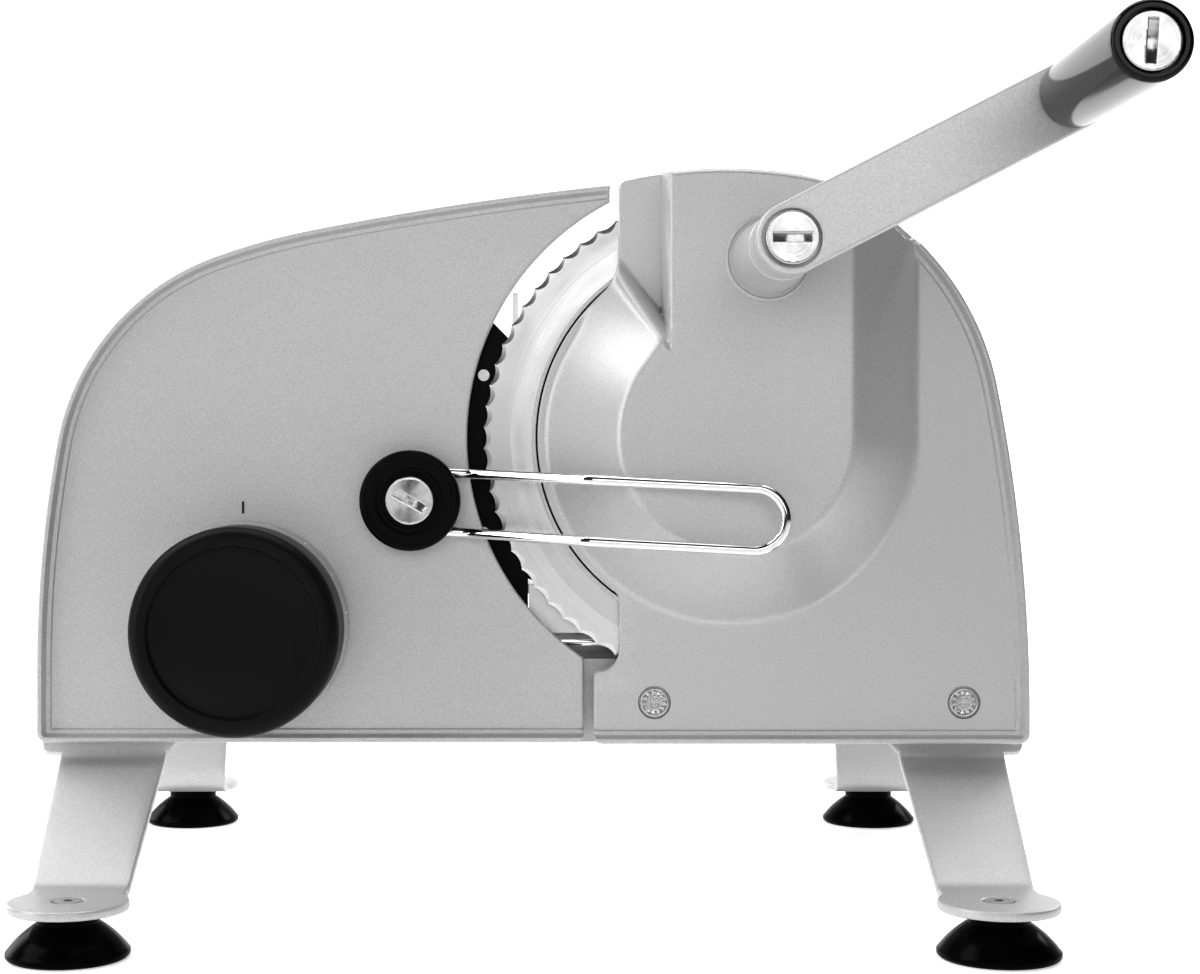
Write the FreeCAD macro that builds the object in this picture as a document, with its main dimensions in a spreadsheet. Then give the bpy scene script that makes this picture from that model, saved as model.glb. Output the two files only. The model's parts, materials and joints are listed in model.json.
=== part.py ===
import FreeCAD, Part
import math
import os
from types import SimpleNamespace

import Sketcher

# Manual food slicer. X runs to the right, Y away from the crank side and Z up. The pieces are drawn from
# the point on the table in the middle of the four feet, and set down with the origin on the table under
# the middle of the whole outline, crank included. Lengths are in millimetres, angles in degrees.
SIZES = (
    ("origin_x", 1.57, "the origin, right of the middle of the feet"),
    ("origin_y", -43.655, "the origin, behind the middle of the feet"),
    ("foot_reach", 145.5, "feet from the middle, sideways"),
    ("foot_depth", 127.5, "feet from the middle, front and back"),
    ("cup_radius", 19.4, "suction cup at its rim"),
    ("cup_neck", 9.8, "suction cup neck, radius"),
    ("cup_height", 14.6, "suction cup, rim to the foot plate"),
    ("cup_shoulder", 11.0, "height where the cup meets its neck"),
    ("cup_hollow", 6.0, "height of the hollow under the cup"),
    ("leg_sheet", 3.0, "sheet of the legs"),
    ("foot_radius", 19.0, "round plate at the foot of a leg"),
    ("leg_wide_top", 18.3, "half width of a leg at its top"),
    ("leg_wide_foot", 15.5, "half width of a leg at its foot"),
    ("leg_tab_wide", 25.0, "half width of the tab of a leg"),
    ("leg_tab_top", 83.0, "top of the leg tabs"),
    ("leg_bend", 54.0, "height of the upper bend of a leg"),
    ("leg_screw", 2.15, "leg screws, radius"),
    ("leg_screw_z", 76.0, "leg screws, height"),
    ("base_beyond", 21.5, "base housing, beyond the middle of the feet"),
    ("base_front", -49.0, "front wall of the base housing"),
    ("base_back", 105.0, "rear wall of the base housing"),
    ("base_low", 57.0, "underside of the base housing"),
    ("base_top", 86.0, "top of the base housing"),
    ("base_sheet", 3.0, "sheet of the base housing"),
    ("bracket_screw_z", 72.0, "screws of the adjuster bracket, height"),
    ("plate_low", 58.1, "bottom edge of the fence and the cover"),
    ("corner", 3.5, "rounding of the plate corners"),
    ("fence_right", 17.7, "right edge of the fence under the throat"),
    ("fence_tip_x", 26.7, "upper right tip of the fence"),
    ("fence_tip_z", 250.0, "height of that tip"),
    ("fence_back", -54.0, "face of the fence that the food touches"),
    ("fence_flat", -56.6, "recessed front of the fence"),
    ("rim_step", -57.4, "front of the step inside the rim"),
    ("rim_front", -60.0, "front of the rim"),
    ("rim_lip", 1.8, "width of the rim's lip"),
    ("rim_wide", 4.4, "width of the rim with its step"),
    ("throat_radius", 91.8, "round cut-out of the fence"),
    ("throat_shift", 1.2, "centre of the cut-out, right of the blade axis"),
    ("blade_x", 68.0, "blade axis, sideways"),
    ("blade_z", 163.0, "blade axis, height"),
    ("blade_radius", 85.0, "blade at the tips of its waves"),
    ("blade_gauge", 2.0, "thickness of the blade"),
    ("wave_count", 72.0, "waves on the edge of the blade"),
    ("wave_depth", 1.1, "depth of a wave"),
    ("bevel_radius", 75.6, "inner end of the ground bevel"),
    ("seat_radius", 24.0, "dished seat in the middle of the blade"),
    ("seat_depth", 3.5, "depth of that seat"),
    ("shaft_radius", 6.0, "blade shaft"),
    ("cover_front", -61.0, "flat front of the gear cover"),
    ("cover_wall", 3.0, "wall of the gear cover"),
    ("cover_left", 29.7, "left edge of the gear cover"),
    ("cover_tab", 21.0, "left edge of the tab at its foot"),
    ("cover_tab_top", 83.2, "top of that tab"),
    ("cover_right", 170.3, "right edge of the gear cover"),
    ("guard_radius", 67.0, "edge of the cover over the blade"),
    ("bulge_front", -87.5, "front of the gear case"),
    ("bulge_foot", 64.5, "radius of the gear case at its foot"),
    ("bulge_face", 39.0, "radius of the gear case at its front"),
    ("tower_left", 45.2, "left side of the gear case tower"),
    ("crank_x", 78.0, "crank axis, sideways"),
    ("crank_z", 222.2, "crank axis, height"),
    ("boss_foot", 14.2, "crank boss at its foot, radius"),
    ("boss_tip", 10.9, "crank boss at its tip, radius"),
    ("boss_long", 40.0, "length of the crank boss"),
    ("crank_shaft_radius", 5.0, "crank shaft"),
    ("bush_wall", 2.0, "wall of the bushes"),
    ("fit", 0.05, "radial clearance of the running fits"),
    ("gap", 0.3, "gap between faces that pass each other"),
    ("gear_module", 1.5, "module of the gears"),
    ("crank_teeth", 32.0, "teeth of the crank gear"),
    ("blade_teeth", 48.0, "teeth of the blade gear"),
    ("gear_front", -74.0, "front face of the gears"),
    ("gear_wide", 8.0, "width of the gears"),
    ("gear_play", 0.12, "backlash of each gear, in tooth thickness"),
    ("arm_front", -152.5, "front of the crank arm"),
    ("arm_gauge", 8.0, "thickness of the crank arm"),
    ("arm_wide", 10.9, "half width of the crank arm and its hub"),
    ("grip_x", 162.5, "grip axis, sideways"),
    ("grip_z", 265.5, "grip axis, height"),
    ("grip_foot", 10.5, "grip radius at the arm"),
    ("grip_tip", 11.1, "grip radius at its end"),
    ("grip_long", 81.7, "length of the grip"),
    ("spindle_radius", 4.0, "grip spindle"),
    ("coin_head", 8.2, "radius of the coin-slot heads"),
    ("coin_slot", 2.4, "width of the coin slots"),
    ("knob_x", -99.0, "knob axis, sideways"),
    ("knob_z", 98.3, "knob axis, height"),
    ("knob_radius", 35.0, "radius of the knob"),
    ("knob_front", -93.0, "front rim of the knob"),
    ("dial_radius", 35.8, "radius of the dial ring"),
    ("dial_front", -69.0, "front of the dial ring"),
    ("hub_radius", 13.4, "hub of the knob"),
    ("nut_radius", 10.0, "spindle nut"),
    ("screw_radius", 7.0, "adjuster spindle"),
    ("adjust_travel", 14.0, "travel of the fence"),
    ("pin_radius", 4.0, "fence guide pins"),
    ("pin_z", 70.0, "height of the guide pins"),
    ("pin_inside", 5.5, "left guide pin, inside the middle of the feet"),
    ("pin_right", 0.0, "right guide pin"),
    ("clamp_x", -41.9, "deflector clamp, sideways"),
    ("clamp_z", 141.5, "deflector clamp, height"),
    ("clamp_radius", 17.2, "deflector clamp disc"),
    ("clamp_front", -69.0, "front of the clamp disc"),
    ("wire_radius", 1.75, "deflector wire"),
    ("wire_half", 10.15, "half the spacing of the wire loop"),
    ("wire_reach", 125.0, "reach of the loop from its clamp"),
    ("wire_tilt", 2.8, "slope of the loop"),
    ("wire_back", -61.5, "the wire at its clamp"),
    ("wire_knee", -90.5, "the wire at its knee"),
    ("wire_front", -97.0, "the wire at its end"),
    ("table_top", 112.0, "top of the carriage table"),
    ("table_sheet", 2.0, "sheet of the carriage"),
    ("table_left", -30.0, "left edge of the table"),
    ("table_right", 122.0, "right edge of the table"),
    ("table_front", -48.5, "front edge of the table"),
    ("table_back", 98.0, "rear edge of the table"),
    ("apron_low", 95.0, "lower edge of the table's aprons"),
    ("apron_left", -1.2, "left end of the front apron"),
    ("wall_x", -7.0, "left side of the pusher wall"),
    ("wall_sheet", 2.0, "sheet of the pusher wall"),
    ("wall_top", 222.0, "top of the pusher wall"),
    ("wall_back", 88.0, "rear end of the pusher wall"),
    ("guard_top", 207.0, "top of the finger guard"),
    ("guard_long", 74.0, "length of the finger guard"),
    ("rail_y", -38.0, "slide rail, from the middle"),
    ("rail_z", 91.0, "slide rail, height"),
    ("rail_radius", 4.0, "slide rail"),
    ("rail_short", 4.0, "slide rail, short of the end of the base housing"),
    ("holder_front", -44.0, "front of the remnant holder"),
)

doc = FreeCAD.newDocument("slicer")
sheet = doc.addObject("Spreadsheet::Sheet", "size")


class Size:
    """A length or angle, with the expression that gives it from the sheet."""

    def __init__(self, value, text):
        self.value = float(value)
        self.text = text

    @staticmethod
    def of(number):
        """Wraps a plain number; a Size stays as it is."""
        return number if isinstance(number, Size) else Size(number, f"{float(number):.6f}")

    def _join(self, other, sign, value):
        other = Size.of(other)
        return Size(value(self.value, other.value), f"({self.text} {sign} {other.text})")

    def __add__(self, other):
        return self._join(other, "+", lambda a, b: a + b)

    def __sub__(self, other):
        return self._join(other, "-", lambda a, b: a - b)

    def __mul__(self, other):
        return self._join(other, "*", lambda a, b: a * b)

    def __truediv__(self, other):
        return self._join(other, "/", lambda a, b: a / b)

    def __radd__(self, other):
        return Size.of(other) + self

    def __rsub__(self, other):
        return Size.of(other) - self

    def __rmul__(self, other):
        return Size.of(other) * self

    def __neg__(self):
        return Size(-self.value, f"(0 - {self.text})")

    def __float__(self):
        return self.value


for row, (name, value, meaning) in enumerate(SIZES, start=1):
    sheet.set(f"A{row}", name)
    sheet.set(f"B{row}", str(value))
    sheet.setAlias(f"B{row}", name)
    sheet.set(f"C{row}", meaning)
doc.recompute()
d = SimpleNamespace(**{name: Size(sheet.get(name), f"size.{name}") for name, _, _ in SIZES})
# What goes along with the feet: the base housing, the rail on it and the left guide pin.
base_left = d.foot_reach + d.base_beyond
rail_half = base_left - d.rail_short
pin_left = d.pin_inside - d.foot_reach

pieces = {}
cuts = []
Vector = FreeCAD.Vector


def bind(thing, prop, amount):
    """Ties a property to the sheet."""
    thing.setExpression(prop, Size.of(amount).text)


def place(thing, x=0.0, y=0.0, z=0.0):
    """Ties the place of a sub-part to the sheet; it is counted from the middle of the four feet."""
    bind(thing, "Placement.Base.x", x - d.origin_x)
    bind(thing, "Placement.Base.y", y - d.origin_y)
    bind(thing, "Placement.Base.z", z)


def new_body(name):
    """An empty body that is kept as a piece under its name."""
    body = doc.addObject("PartDesign::Body", name)
    body.Label = name
    place(body)
    pieces[name] = body
    return body


# Outlines. A loop is a Ring, or a list of corners (u, v) or (u, v, bend), where bend is the radius of the
# arc that leaves the corner: positive when the arc turns to the left.
class Ring:
    """A full circle in a sketch."""

    def __init__(self, u, v, radius):
        self.u, self.v, self.radius = u, v, radius


def arc_between(start, end, bend):
    """The arc under half a circle from start to end, with its centre left of the way if bend is positive."""
    half = math.dist(start, end) / 2
    rise = math.sqrt(max(bend * bend - half * half, 0.0))
    side = math.copysign(rise / (2 * half), bend)
    centre = ((start[0] + end[0]) / 2 - side * (end[1] - start[1]),
              (start[1] + end[1]) / 2 + side * (end[0] - start[0]))
    first = math.atan2(start[1] - centre[1], start[0] - centre[0])
    last = math.atan2(end[1] - centre[1], end[0] - centre[0])
    if bend < 0:
        first, last = last, first
    if last < first:
        last += 2 * math.pi
    circle = Part.Circle(Vector(*centre, 0), Vector(0, 0, 1), abs(bend))
    return Part.ArcOfCircle(circle, first, last)


class Dimensions:
    """The dimensions of a sketch, collected first and then added in one go."""

    def __init__(self, sketch):
        self.sketch = sketch
        self.waiting = []

    def join(self, *places):
        """Lets two ends meet."""
        self.waiting.append((Sketcher.Constraint("Coincident", *places), None))

    def size(self, kind, places, amount):
        """A dimension, tied to the sheet where the amount comes from it."""
        text = amount.text if isinstance(amount, Size) else None
        self.waiting.append((Sketcher.Constraint(kind, *places, float(amount)), text))

    def finish(self):
        """Adds everything that is waiting."""
        first = self.sketch.ConstraintCount
        self.sketch.addConstraint([constraint for constraint, _ in self.waiting])
        for index, (_, text) in enumerate(self.waiting, start=first):
            if text is not None:
                self.sketch.renameConstraint(index, f"size_{index}")
                self.sketch.setExpression(f"Constraints.size_{index}", text)


def draw(sketch, loops):
    """Draws closed loops with all their corners and radii dimensioned."""
    dimensions = Dimensions(sketch)
    for loop in loops:
        if isinstance(loop, Ring):
            circle = Part.Circle(Vector(float(loop.u), float(loop.v), 0), Vector(0, 0, 1), float(loop.radius))
            index = sketch.addGeometry(circle)
            dimensions.size("DistanceX", (-1, 1, index, 3), loop.u)
            dimensions.size("DistanceY", (-1, 1, index, 3), loop.v)
            dimensions.size("Radius", (index,), loop.radius)
            continue
        curves = []
        ends = []
        first = sketch.GeometryCount
        for number, (here, after) in enumerate(zip(loop, loop[1:] + loop[:1])):
            start = (float(here[0]), float(here[1]))
            end = (float(after[0]), float(after[1]))
            index = first + number
            bend = here[2] if len(here) > 2 else None
            if bend is None:
                curves.append(Part.LineSegment(Vector(*start, 0), Vector(*end, 0)))
                ends.append((index, 1, 2, None))
            else:
                curves.append(arc_between(start, end, float(bend)))
                turned_right = float(bend) < 0
                radius = -bend if turned_right else bend
                ends.append((index, 2 if turned_right else 1, 1 if turned_right else 2, radius))
        sketch.addGeometry(curves)
        for (index, _, end_point, _), (following, start_point, _, _) in zip(ends, ends[1:] + ends[:1]):
            dimensions.join(index, end_point, following, start_point)
        for (index, start_point, _, radius), corner in zip(ends, loop):
            dimensions.size("DistanceX", (-1, 1, index, start_point), corner[0])
            dimensions.size("DistanceY", (-1, 1, index, start_point), corner[1])
            if radius is not None:
                dimensions.size("Radius", (index,), radius)
    dimensions.finish()


def box_loop(left, low, right, high, round_by=None):
    """A rectangle, with its corners rounded if asked."""
    if round_by is None:
        return [(left, low), (right, low), (right, high), (left, high)]
    r = round_by
    return [(left + r, low), (right - r, low, r), (right, low + r), (right, high - r, r),
            (right - r, high), (left + r, high, r), (left, high - r), (left, low + r, r)]


def sketch_on(body, role, level, loops):
    """A sketch on a plane of the body, shifted to a level along X, Y or Z."""
    sketch = body.newObject("Sketcher::SketchObject", f"{body.Name}_sketch")
    plane = next(item for item in body.Origin.OriginFeatures if item.Role == role)
    sketch.AttachmentSupport = [(plane, "")]
    sketch.MapMode = "FlatFace"
    bind(sketch, "AttachmentOffset.Base.z", -Size.of(level) if role == "XZ_Plane" else level)
    draw(sketch, loops)
    return sketch


def pad(body, role, low, high, loops):
    """Fills loops between two levels along the plane's axis."""
    front = role == "XZ_Plane"
    feature = body.newObject("PartDesign::Pad", f"{body.Name}_pad")
    feature.Profile = sketch_on(body, role, high if front else low, loops)
    bind(feature, "Length", high - low)
    return feature


def pocket(body, role, low, high, loops):
    """Removes loops between two levels along the plane's axis."""
    front = role == "XZ_Plane"
    feature = body.newObject("PartDesign::Pocket", f"{body.Name}_pocket")
    feature.Profile = sketch_on(body, role, low if front else high, loops)
    bind(feature, "Length", high - low)
    cuts.append(feature)
    return feature


def turn(body, role, loop, cut=False):
    """Revolves a loop about the upright axis of its sketch."""
    kind = "PartDesign::Groove" if cut else "PartDesign::Revolution"
    feature = body.newObject(kind, f"{body.Name}_turn")
    sketch = sketch_on(body, role, 0.0, [loop])
    feature.Profile = sketch
    feature.ReferenceAxis = (sketch, ["V_Axis"])
    feature.Angle = 360
    if cut:
        cuts.append(feature)
    return feature


def turned(name, x, z, *loops):
    """A piece turned about an axis along Y at (x, z); its loops hold (radius, y)."""
    body = new_body(name)
    place(body, x=x, z=z)
    for loop in loops:
        turn(body, "XY_Plane", loop)
    return body


def loft(body, role, sections, cut=False):
    """A ruled loft through loops at levels; cut removes it."""
    sketches = [sketch_on(body, role, level, [loop]) for level, loop in sections]
    kind = "PartDesign::SubtractiveLoft" if cut else "PartDesign::AdditiveLoft"
    feature = body.newObject(kind, f"{body.Name}_loft")
    feature.Profile = sketches[0]
    feature.Sections = sketches[1:]
    feature.Ruled = True
    if cut:
        cuts.append(feature)
    return feature


def group(name, *sets):
    """Identical solids in one node: each set holds a master piece and the places of its copies."""
    doc.recompute()
    solids = []
    for master, spots in sets:
        for spot in spots:
            solid = master.Shape.copy()
            solid.translate(Vector(*(float(value) for value in spot)))
            solids.append(solid)
    keep_shape(name, Part.makeCompound(solids))


def keep_shape(name, shape):
    """A piece whose shape is worked out here."""
    feature = doc.addObject("Part::Feature", name)
    feature.Label = name
    feature.Shape = shape
    place(feature)
    pieces[name] = feature
    return feature


def master_screw(name, head, head_deep, shank, long, socket=None, countersunk=False):
    """A screw turned about Z: its head's top at Z 0, its shank downwards. It is only copied from."""
    body = doc.addObject("PartDesign::Body", name)
    body.Label = name
    if countersunk:
        profile = [(0.0, 0.0), (0.0, -long), (shank, -long), (shank, -head_deep), (head, -0.2), (head, 0.0)]
    else:
        profile = [(0.0, 0.0), (0.0, -long), (shank, -long), (shank, -head_deep), (head, -head_deep),
                   (head, -0.4), (head - 0.4, 0.0)]
    turn(body, "XZ_Plane", profile)
    if socket is not None:
        points = [(socket * math.cos(math.radians(60 * k)), socket * math.sin(math.radians(60 * k)))
                  for k in range(6)]
        pocket(body, "XY_Plane", -head_deep * 0.6, Size.of(0.0), [points])
    return body


def facing(master, direction):
    """A copy of a screw with its head towards a direction."""
    doc.recompute()
    feature = doc.addObject("Part::Feature", master.Name + "_turned")
    shape = master.Shape.copy()
    turn_by = FreeCAD.Rotation(Vector(0, 0, 1), direction)
    shape.Placement = FreeCAD.Placement(Vector(0, 0, 0), turn_by)
    feature.Shape = shape
    return feature


def chain(x, z, heading, arcs):
    """Corners of arcs that run on smoothly: arcs holds (radius, sweep); also gives the last point."""
    corners = []
    for radius, sweep in arcs:
        corners.append((x, z, radius))
        start, end = math.radians(heading), math.radians(heading + sweep)
        x += radius * (math.sin(end) - math.sin(start))
        z += radius * (math.cos(start) - math.cos(end))
        heading += sweep
    return corners, (x, z), heading


# Feet: rubber suction cups under round foot plates, at the ends of bent sheet legs.
SIDES = (("left", -1), ("right", 1))
ENDS = (("front", -1), ("rear", 1))
cup_screw_hole = 2.6
cover_screw_x = (41.9, d.foot_reach + 2.7)
cover_screw_z = 72.0
cover_screw = 2.6


def suction_cup(name, x, y):
    """A bell of rubber with a hollow underside and a bore for the foot screw."""
    body = new_body(name)
    place(body, x=x, y=y)
    rim = d.cup_radius
    turn(body, "XZ_Plane", [
        (cup_screw_hole, d.cup_hollow + 2.0), (cup_screw_hole, d.cup_height), (d.cup_neck, d.cup_height),
        (d.cup_neck, d.cup_shoulder, -34.0), (rim, 2.2), (rim, 1.0), (rim - 0.8, 0.0), (rim - 2.4, 0.0),
        (9.0, d.cup_hollow)])
    return body


def miter(points, gauge):
    """Outline of a bent sheet whose one face follows the points; the sheet lies to their left."""
    inner = []
    for number, here in enumerate(points):
        before = points[max(number - 1, 0)]
        after = points[min(number + 1, len(points) - 1)]
        ways = []
        for start, end in ((before, here), (here, after)):
            length = math.dist(start, end)
            if length > 0:
                ways.append(((end[0] - start[0]) / length, (end[1] - start[1]) / length))
        first, last = ways[0], ways[-1]
        across = (-(first[1] + last[1]), first[0] + last[0])
        scale = gauge / (across[0] * -first[1] + across[1] * first[0])
        inner.append((here[0] + across[0] * scale, here[1] + across[1] * scale))
    return list(points) + inner[::-1]


def leg_screw_places(side, end):
    """Where the screws of a leg go through the base wall: x, z and the face their heads sit on."""
    seat = d.base_front + d.base_sheet if end < 0 else d.base_back - d.base_sheet
    ways = (-1,) if end < 0 and side < 0 else (-1, 1)
    return [(d.foot_reach * side + way * 12.0, d.leg_screw_z, seat) for way in ways]


def mirrored_loop(points, middle, way, bends=None):
    """Offsets to one side of a middle line as a loop; bends holds the radius of the arc after a point."""
    bends = bends or {}
    count = len(points)
    loop = []
    for number, (offset, height) in enumerate(points):
        loop.append([middle + way * offset, height])
        if number in bends:
            loop[-1].append(bends[number])
    if way < 0:
        arcs = {(count - 2 - number) % count: radius for number, radius in bends.items()}
        loop = [point[:2] for point in reversed(loop)]
        for number, radius in arcs.items():
            loop[number].append(radius)
    return [tuple(point) for point in loop]


def leg(name, side, end):
    """A bent sheet: an upright tab on the base, a tapering leg and a round foot plate."""
    body = new_body(name)
    x = d.foot_reach * side
    y = d.foot_depth * end
    gauge = float(d.leg_sheet)
    foot_top = float(d.cup_height) + gauge
    outside = float(d.base_front) - gauge if end < 0 else float(d.base_back) + gauge
    knee = abs(float(y)) - float(d.foot_radius)
    if end < 0:
        face = [(outside, float(d.leg_tab_top)), (outside, float(d.leg_bend)),
                (-knee, foot_top), (-abs(float(y)) - float(d.foot_radius), foot_top)]
    else:
        face = [(abs(float(y)) + float(d.foot_radius), foot_top), (outside, foot_top),
                (outside, float(d.leg_tab_top))]
    pad(body, "YZ_Plane", x - d.leg_tab_wide, x + d.leg_tab_wide, [miter(face, gauge)])
    middle = float(x)
    tab = float(d.leg_tab_wide)
    top = float(d.leg_wide_top)
    foot = float(d.leg_wide_foot) + (0.9 if end > 0 else 0.0)
    low, high = foot_top + 0.01, float(d.leg_bend)
    flare = tab - top
    rounding = 4.0
    beyond = tab * 1.1
    front = float(d.base_front) - 80.0
    back = float(d.base_back) + 60.0
    inner_way = -1 if side > 0 else 1
    flared = [(beyond, low), (foot, low), (top, high - 0.5), (tab, high - 0.5 + flare),
              (beyond, high - 0.5 + flare)]
    square = [(beyond, low), (foot, low), (top, high - 1.0), (tab - rounding, high - 1.0),
              (tab, high - 1.0 + rounding), (beyond, high - 1.0 + rounding)]
    for loop in (mirrored_loop(flared, middle, inner_way),
                 mirrored_loop(square, middle, -inner_way, {3: rounding})):
        pocket(body, "XZ_Plane", Size.of(front), Size.of(back), [loop])
    reach = float(d.foot_radius)
    rise = math.sqrt(reach * reach - foot * foot)
    centre = float(y)
    root = centre - end * (reach + 6.0)
    far = centre + end * (reach + 5.0)
    tip = centre + end * reach
    shoulder = centre - end * rise
    ring = [(middle - beyond, root), (middle - beyond, far), (middle + beyond, far), (middle + beyond, root),
            (middle + foot, root), (middle + foot, shoulder, end * reach), (middle, tip, end * reach),
            (middle - foot, shoulder), (middle - foot, root)]
    pocket(body, "XY_Plane", d.cup_height - 2.0, d.cup_height + d.leg_sheet + 2.0, [ring])
    pocket(body, "XY_Plane", d.cup_height - 1.0, d.cup_height + d.leg_sheet + 1.0,
           [Ring(x, y, cup_screw_hole)])
    loft(body, "XY_Plane", [(d.cup_height + d.leg_sheet + 0.1, Ring(x, y, 5.0)),
                            (d.cup_height + 0.5, Ring(x, y, cup_screw_hole))], cut=True)
    holes = [Ring(hole_x, screw_z, d.leg_screw + 0.05) for hole_x, screw_z, _ in leg_screw_places(side, end)]
    if end < 0 and side < 0:
        holes.append(Ring(pin_left, d.pin_z, d.pin_radius + d.bush_wall + 1.0))
    if end < 0 and side > 0:
        holes.append(Ring(cover_screw_x[1], cover_screw_z, cover_screw))
    pocket(body, "XZ_Plane", Size.of(outside - 10.0), Size.of(outside + 10.0), holes)
    return body


for end_name, end in ENDS:
    for side_name, side in SIDES:
        suction_cup(f"suction_cup_{end_name}_{side_name}", d.foot_reach * side, d.foot_depth * end)
        leg(f"leg_{end_name}_{side_name}", side, end)


# Base housing: a folded tray, open below, with the slide rail on its top.
pin_bore = d.pin_radius + d.bush_wall
pin_places = ((pin_left, d.pin_z), (d.pin_right, d.pin_z))

base = new_body("base_housing")
pad(base, "XY_Plane", d.base_low, d.base_top,
    [box_loop(-base_left, d.base_front, base_left, d.base_back, 4.0)])
pocket(base, "XY_Plane", d.base_low - 1.0, d.base_top - d.base_sheet,
       [box_loop(-base_left + d.base_sheet, d.base_front + d.base_sheet,
                 base_left - d.base_sheet, d.base_back - d.base_sheet, 2.0)])
front_holes = [Ring(x, z, pin_bore) for x, z in pin_places]
front_holes += [Ring(x, cover_screw_z, cover_screw) for x in cover_screw_x]
front_holes += [Ring(d.knob_x + way * 9.0, d.bracket_screw_z, d.leg_screw + 0.05) for way in (-1, 1)]
for side in (-1, 1):
    front_holes += [Ring(x, z, d.leg_screw + 0.05) for x, z, _ in leg_screw_places(side, -1)]
pocket(base, "XZ_Plane", d.base_front - 1.0, d.base_front + d.base_sheet + 1.0, front_holes)
rear_holes = []
for side in (-1, 1):
    rear_holes += [Ring(x, z, d.leg_screw + 0.05) for x, z, _ in leg_screw_places(side, 1)]
pocket(base, "XZ_Plane", d.base_back - d.base_sheet - 1.0, d.base_back + 1.0, rear_holes)
bracket_long = 9.0
rail_screw_y = d.rail_y + 12.5
bracket_middle = rail_half - bracket_long / 2
pocket(base, "XY_Plane", d.base_top - d.base_sheet - 1.0, d.base_top + 1.0,
       [Ring(bracket_middle * way, rail_screw_y, d.leg_screw + 0.05) for way in (-1, 1)])

rail = new_body("slide_rail")
pad(rail, "YZ_Plane", -rail_half, rail_half, [Ring(d.rail_y, d.rail_z, d.rail_radius)])
for side_name, side in SIDES:
    bracket = new_body(f"rail_bracket_{side_name}")
    low = -rail_half - 2.0 if side < 0 else rail_half - bracket_long + 2.0
    wide = d.rail_radius + 3.5
    foot_top = d.base_top + 4.0
    top = d.rail_z + wide
    pad(bracket, "YZ_Plane", low, low + bracket_long, [[
        (d.rail_y - wide, d.base_top), (d.rail_y + 17.0, d.base_top), (d.rail_y + 17.0, foot_top),
        (d.rail_y + wide, foot_top), (d.rail_y + wide, top - 2.0, 2.0), (d.rail_y + wide - 2.0, top),
        (d.rail_y - wide + 2.0, top, 2.0), (d.rail_y - wide, top - 2.0)]])
    inside = low + 2.0 if side < 0 else low - 1.0
    pocket(bracket, "YZ_Plane", inside, inside + bracket_long - 1.0,
           [Ring(d.rail_y, d.rail_z, d.rail_radius)])
    pocket(bracket, "XY_Plane", d.base_top - 1.0, foot_top + 1.0,
           [Ring(bracket_middle * side, rail_screw_y, d.leg_screw + 0.05)])

foot_screw = master_screw("foot_screw", 4.6, 2.5, 2.5, 9.0, socket=1.6, countersunk=True)
screw_top = d.cup_height + d.leg_sheet
foot_places = [(d.foot_reach * side, d.foot_depth * end, screw_top) for _, side in SIDES for _, end in ENDS]
group("foot_screws", (foot_screw, foot_places))
wall_head = 2.4
wall_screw = master_screw("wall_screw", 3.8, wall_head, 2.15, 8.4, socket=1.7)
backward_screw = facing(wall_screw, Vector(0, 1, 0))
forward_screw = facing(wall_screw, Vector(0, -1, 0))
downward_screw = facing(wall_screw, Vector(0, 0, -1))
front_screws = [(x, seat + wall_head, z) for side in (-1, 1) for x, z, seat in leg_screw_places(side, -1)]
rear_screws = [(x, seat - wall_head, z) for side in (-1, 1) for x, z, seat in leg_screw_places(side, 1)]
group("leg_screws", (backward_screw, front_screws), (forward_screw, rear_screws))
rail_screw_z = d.base_top - d.base_sheet - wall_head
rail_screw_places = [(bracket_middle * way, rail_screw_y, rail_screw_z) for way in (-1, 1)]
group("rail_screws", (downward_screw, rail_screw_places))

guide_bush = doc.addObject("PartDesign::Body", "guide_bush")
turn(guide_bush, "XY_Plane", [
    (d.pin_radius + d.fit, d.base_front), (pin_bore, d.base_front), (pin_bore, d.base_front + d.base_sheet),
    (pin_bore + 2.5, d.base_front + d.base_sheet), (pin_bore + 2.5, d.base_front + d.base_sheet + 2.5),
    (pin_bore, d.base_front + d.base_sheet + 2.5), (pin_bore, d.base_front + 21.0),
    (d.pin_radius + d.fit, d.base_front + 21.0)])
group("guide_bushes", (guide_bush, [(x, 0.0, z) for x, z in pin_places]))

# Gear cover: a cast plate with the conical gear case over the blade and the tower over the crank gear.
COVER_SIDE = ((580.0, 11.3), (95.5, 45.0), (76.0, 24.5), (152.0, 22.0))
side_start = float(d.cover_right), 67.2
bx, bz = float(d.blade_x), float(d.blade_z)


def cover_right_side(inset, arcs=COVER_SIDE):
    """The smooth right side and roof of the cover, moved inwards by inset."""
    inner_arcs = [(radius - inset, sweep) for radius, sweep in arcs]
    return chain(side_start[0] - inset, side_start[1], 90.0, inner_arcs)


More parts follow.
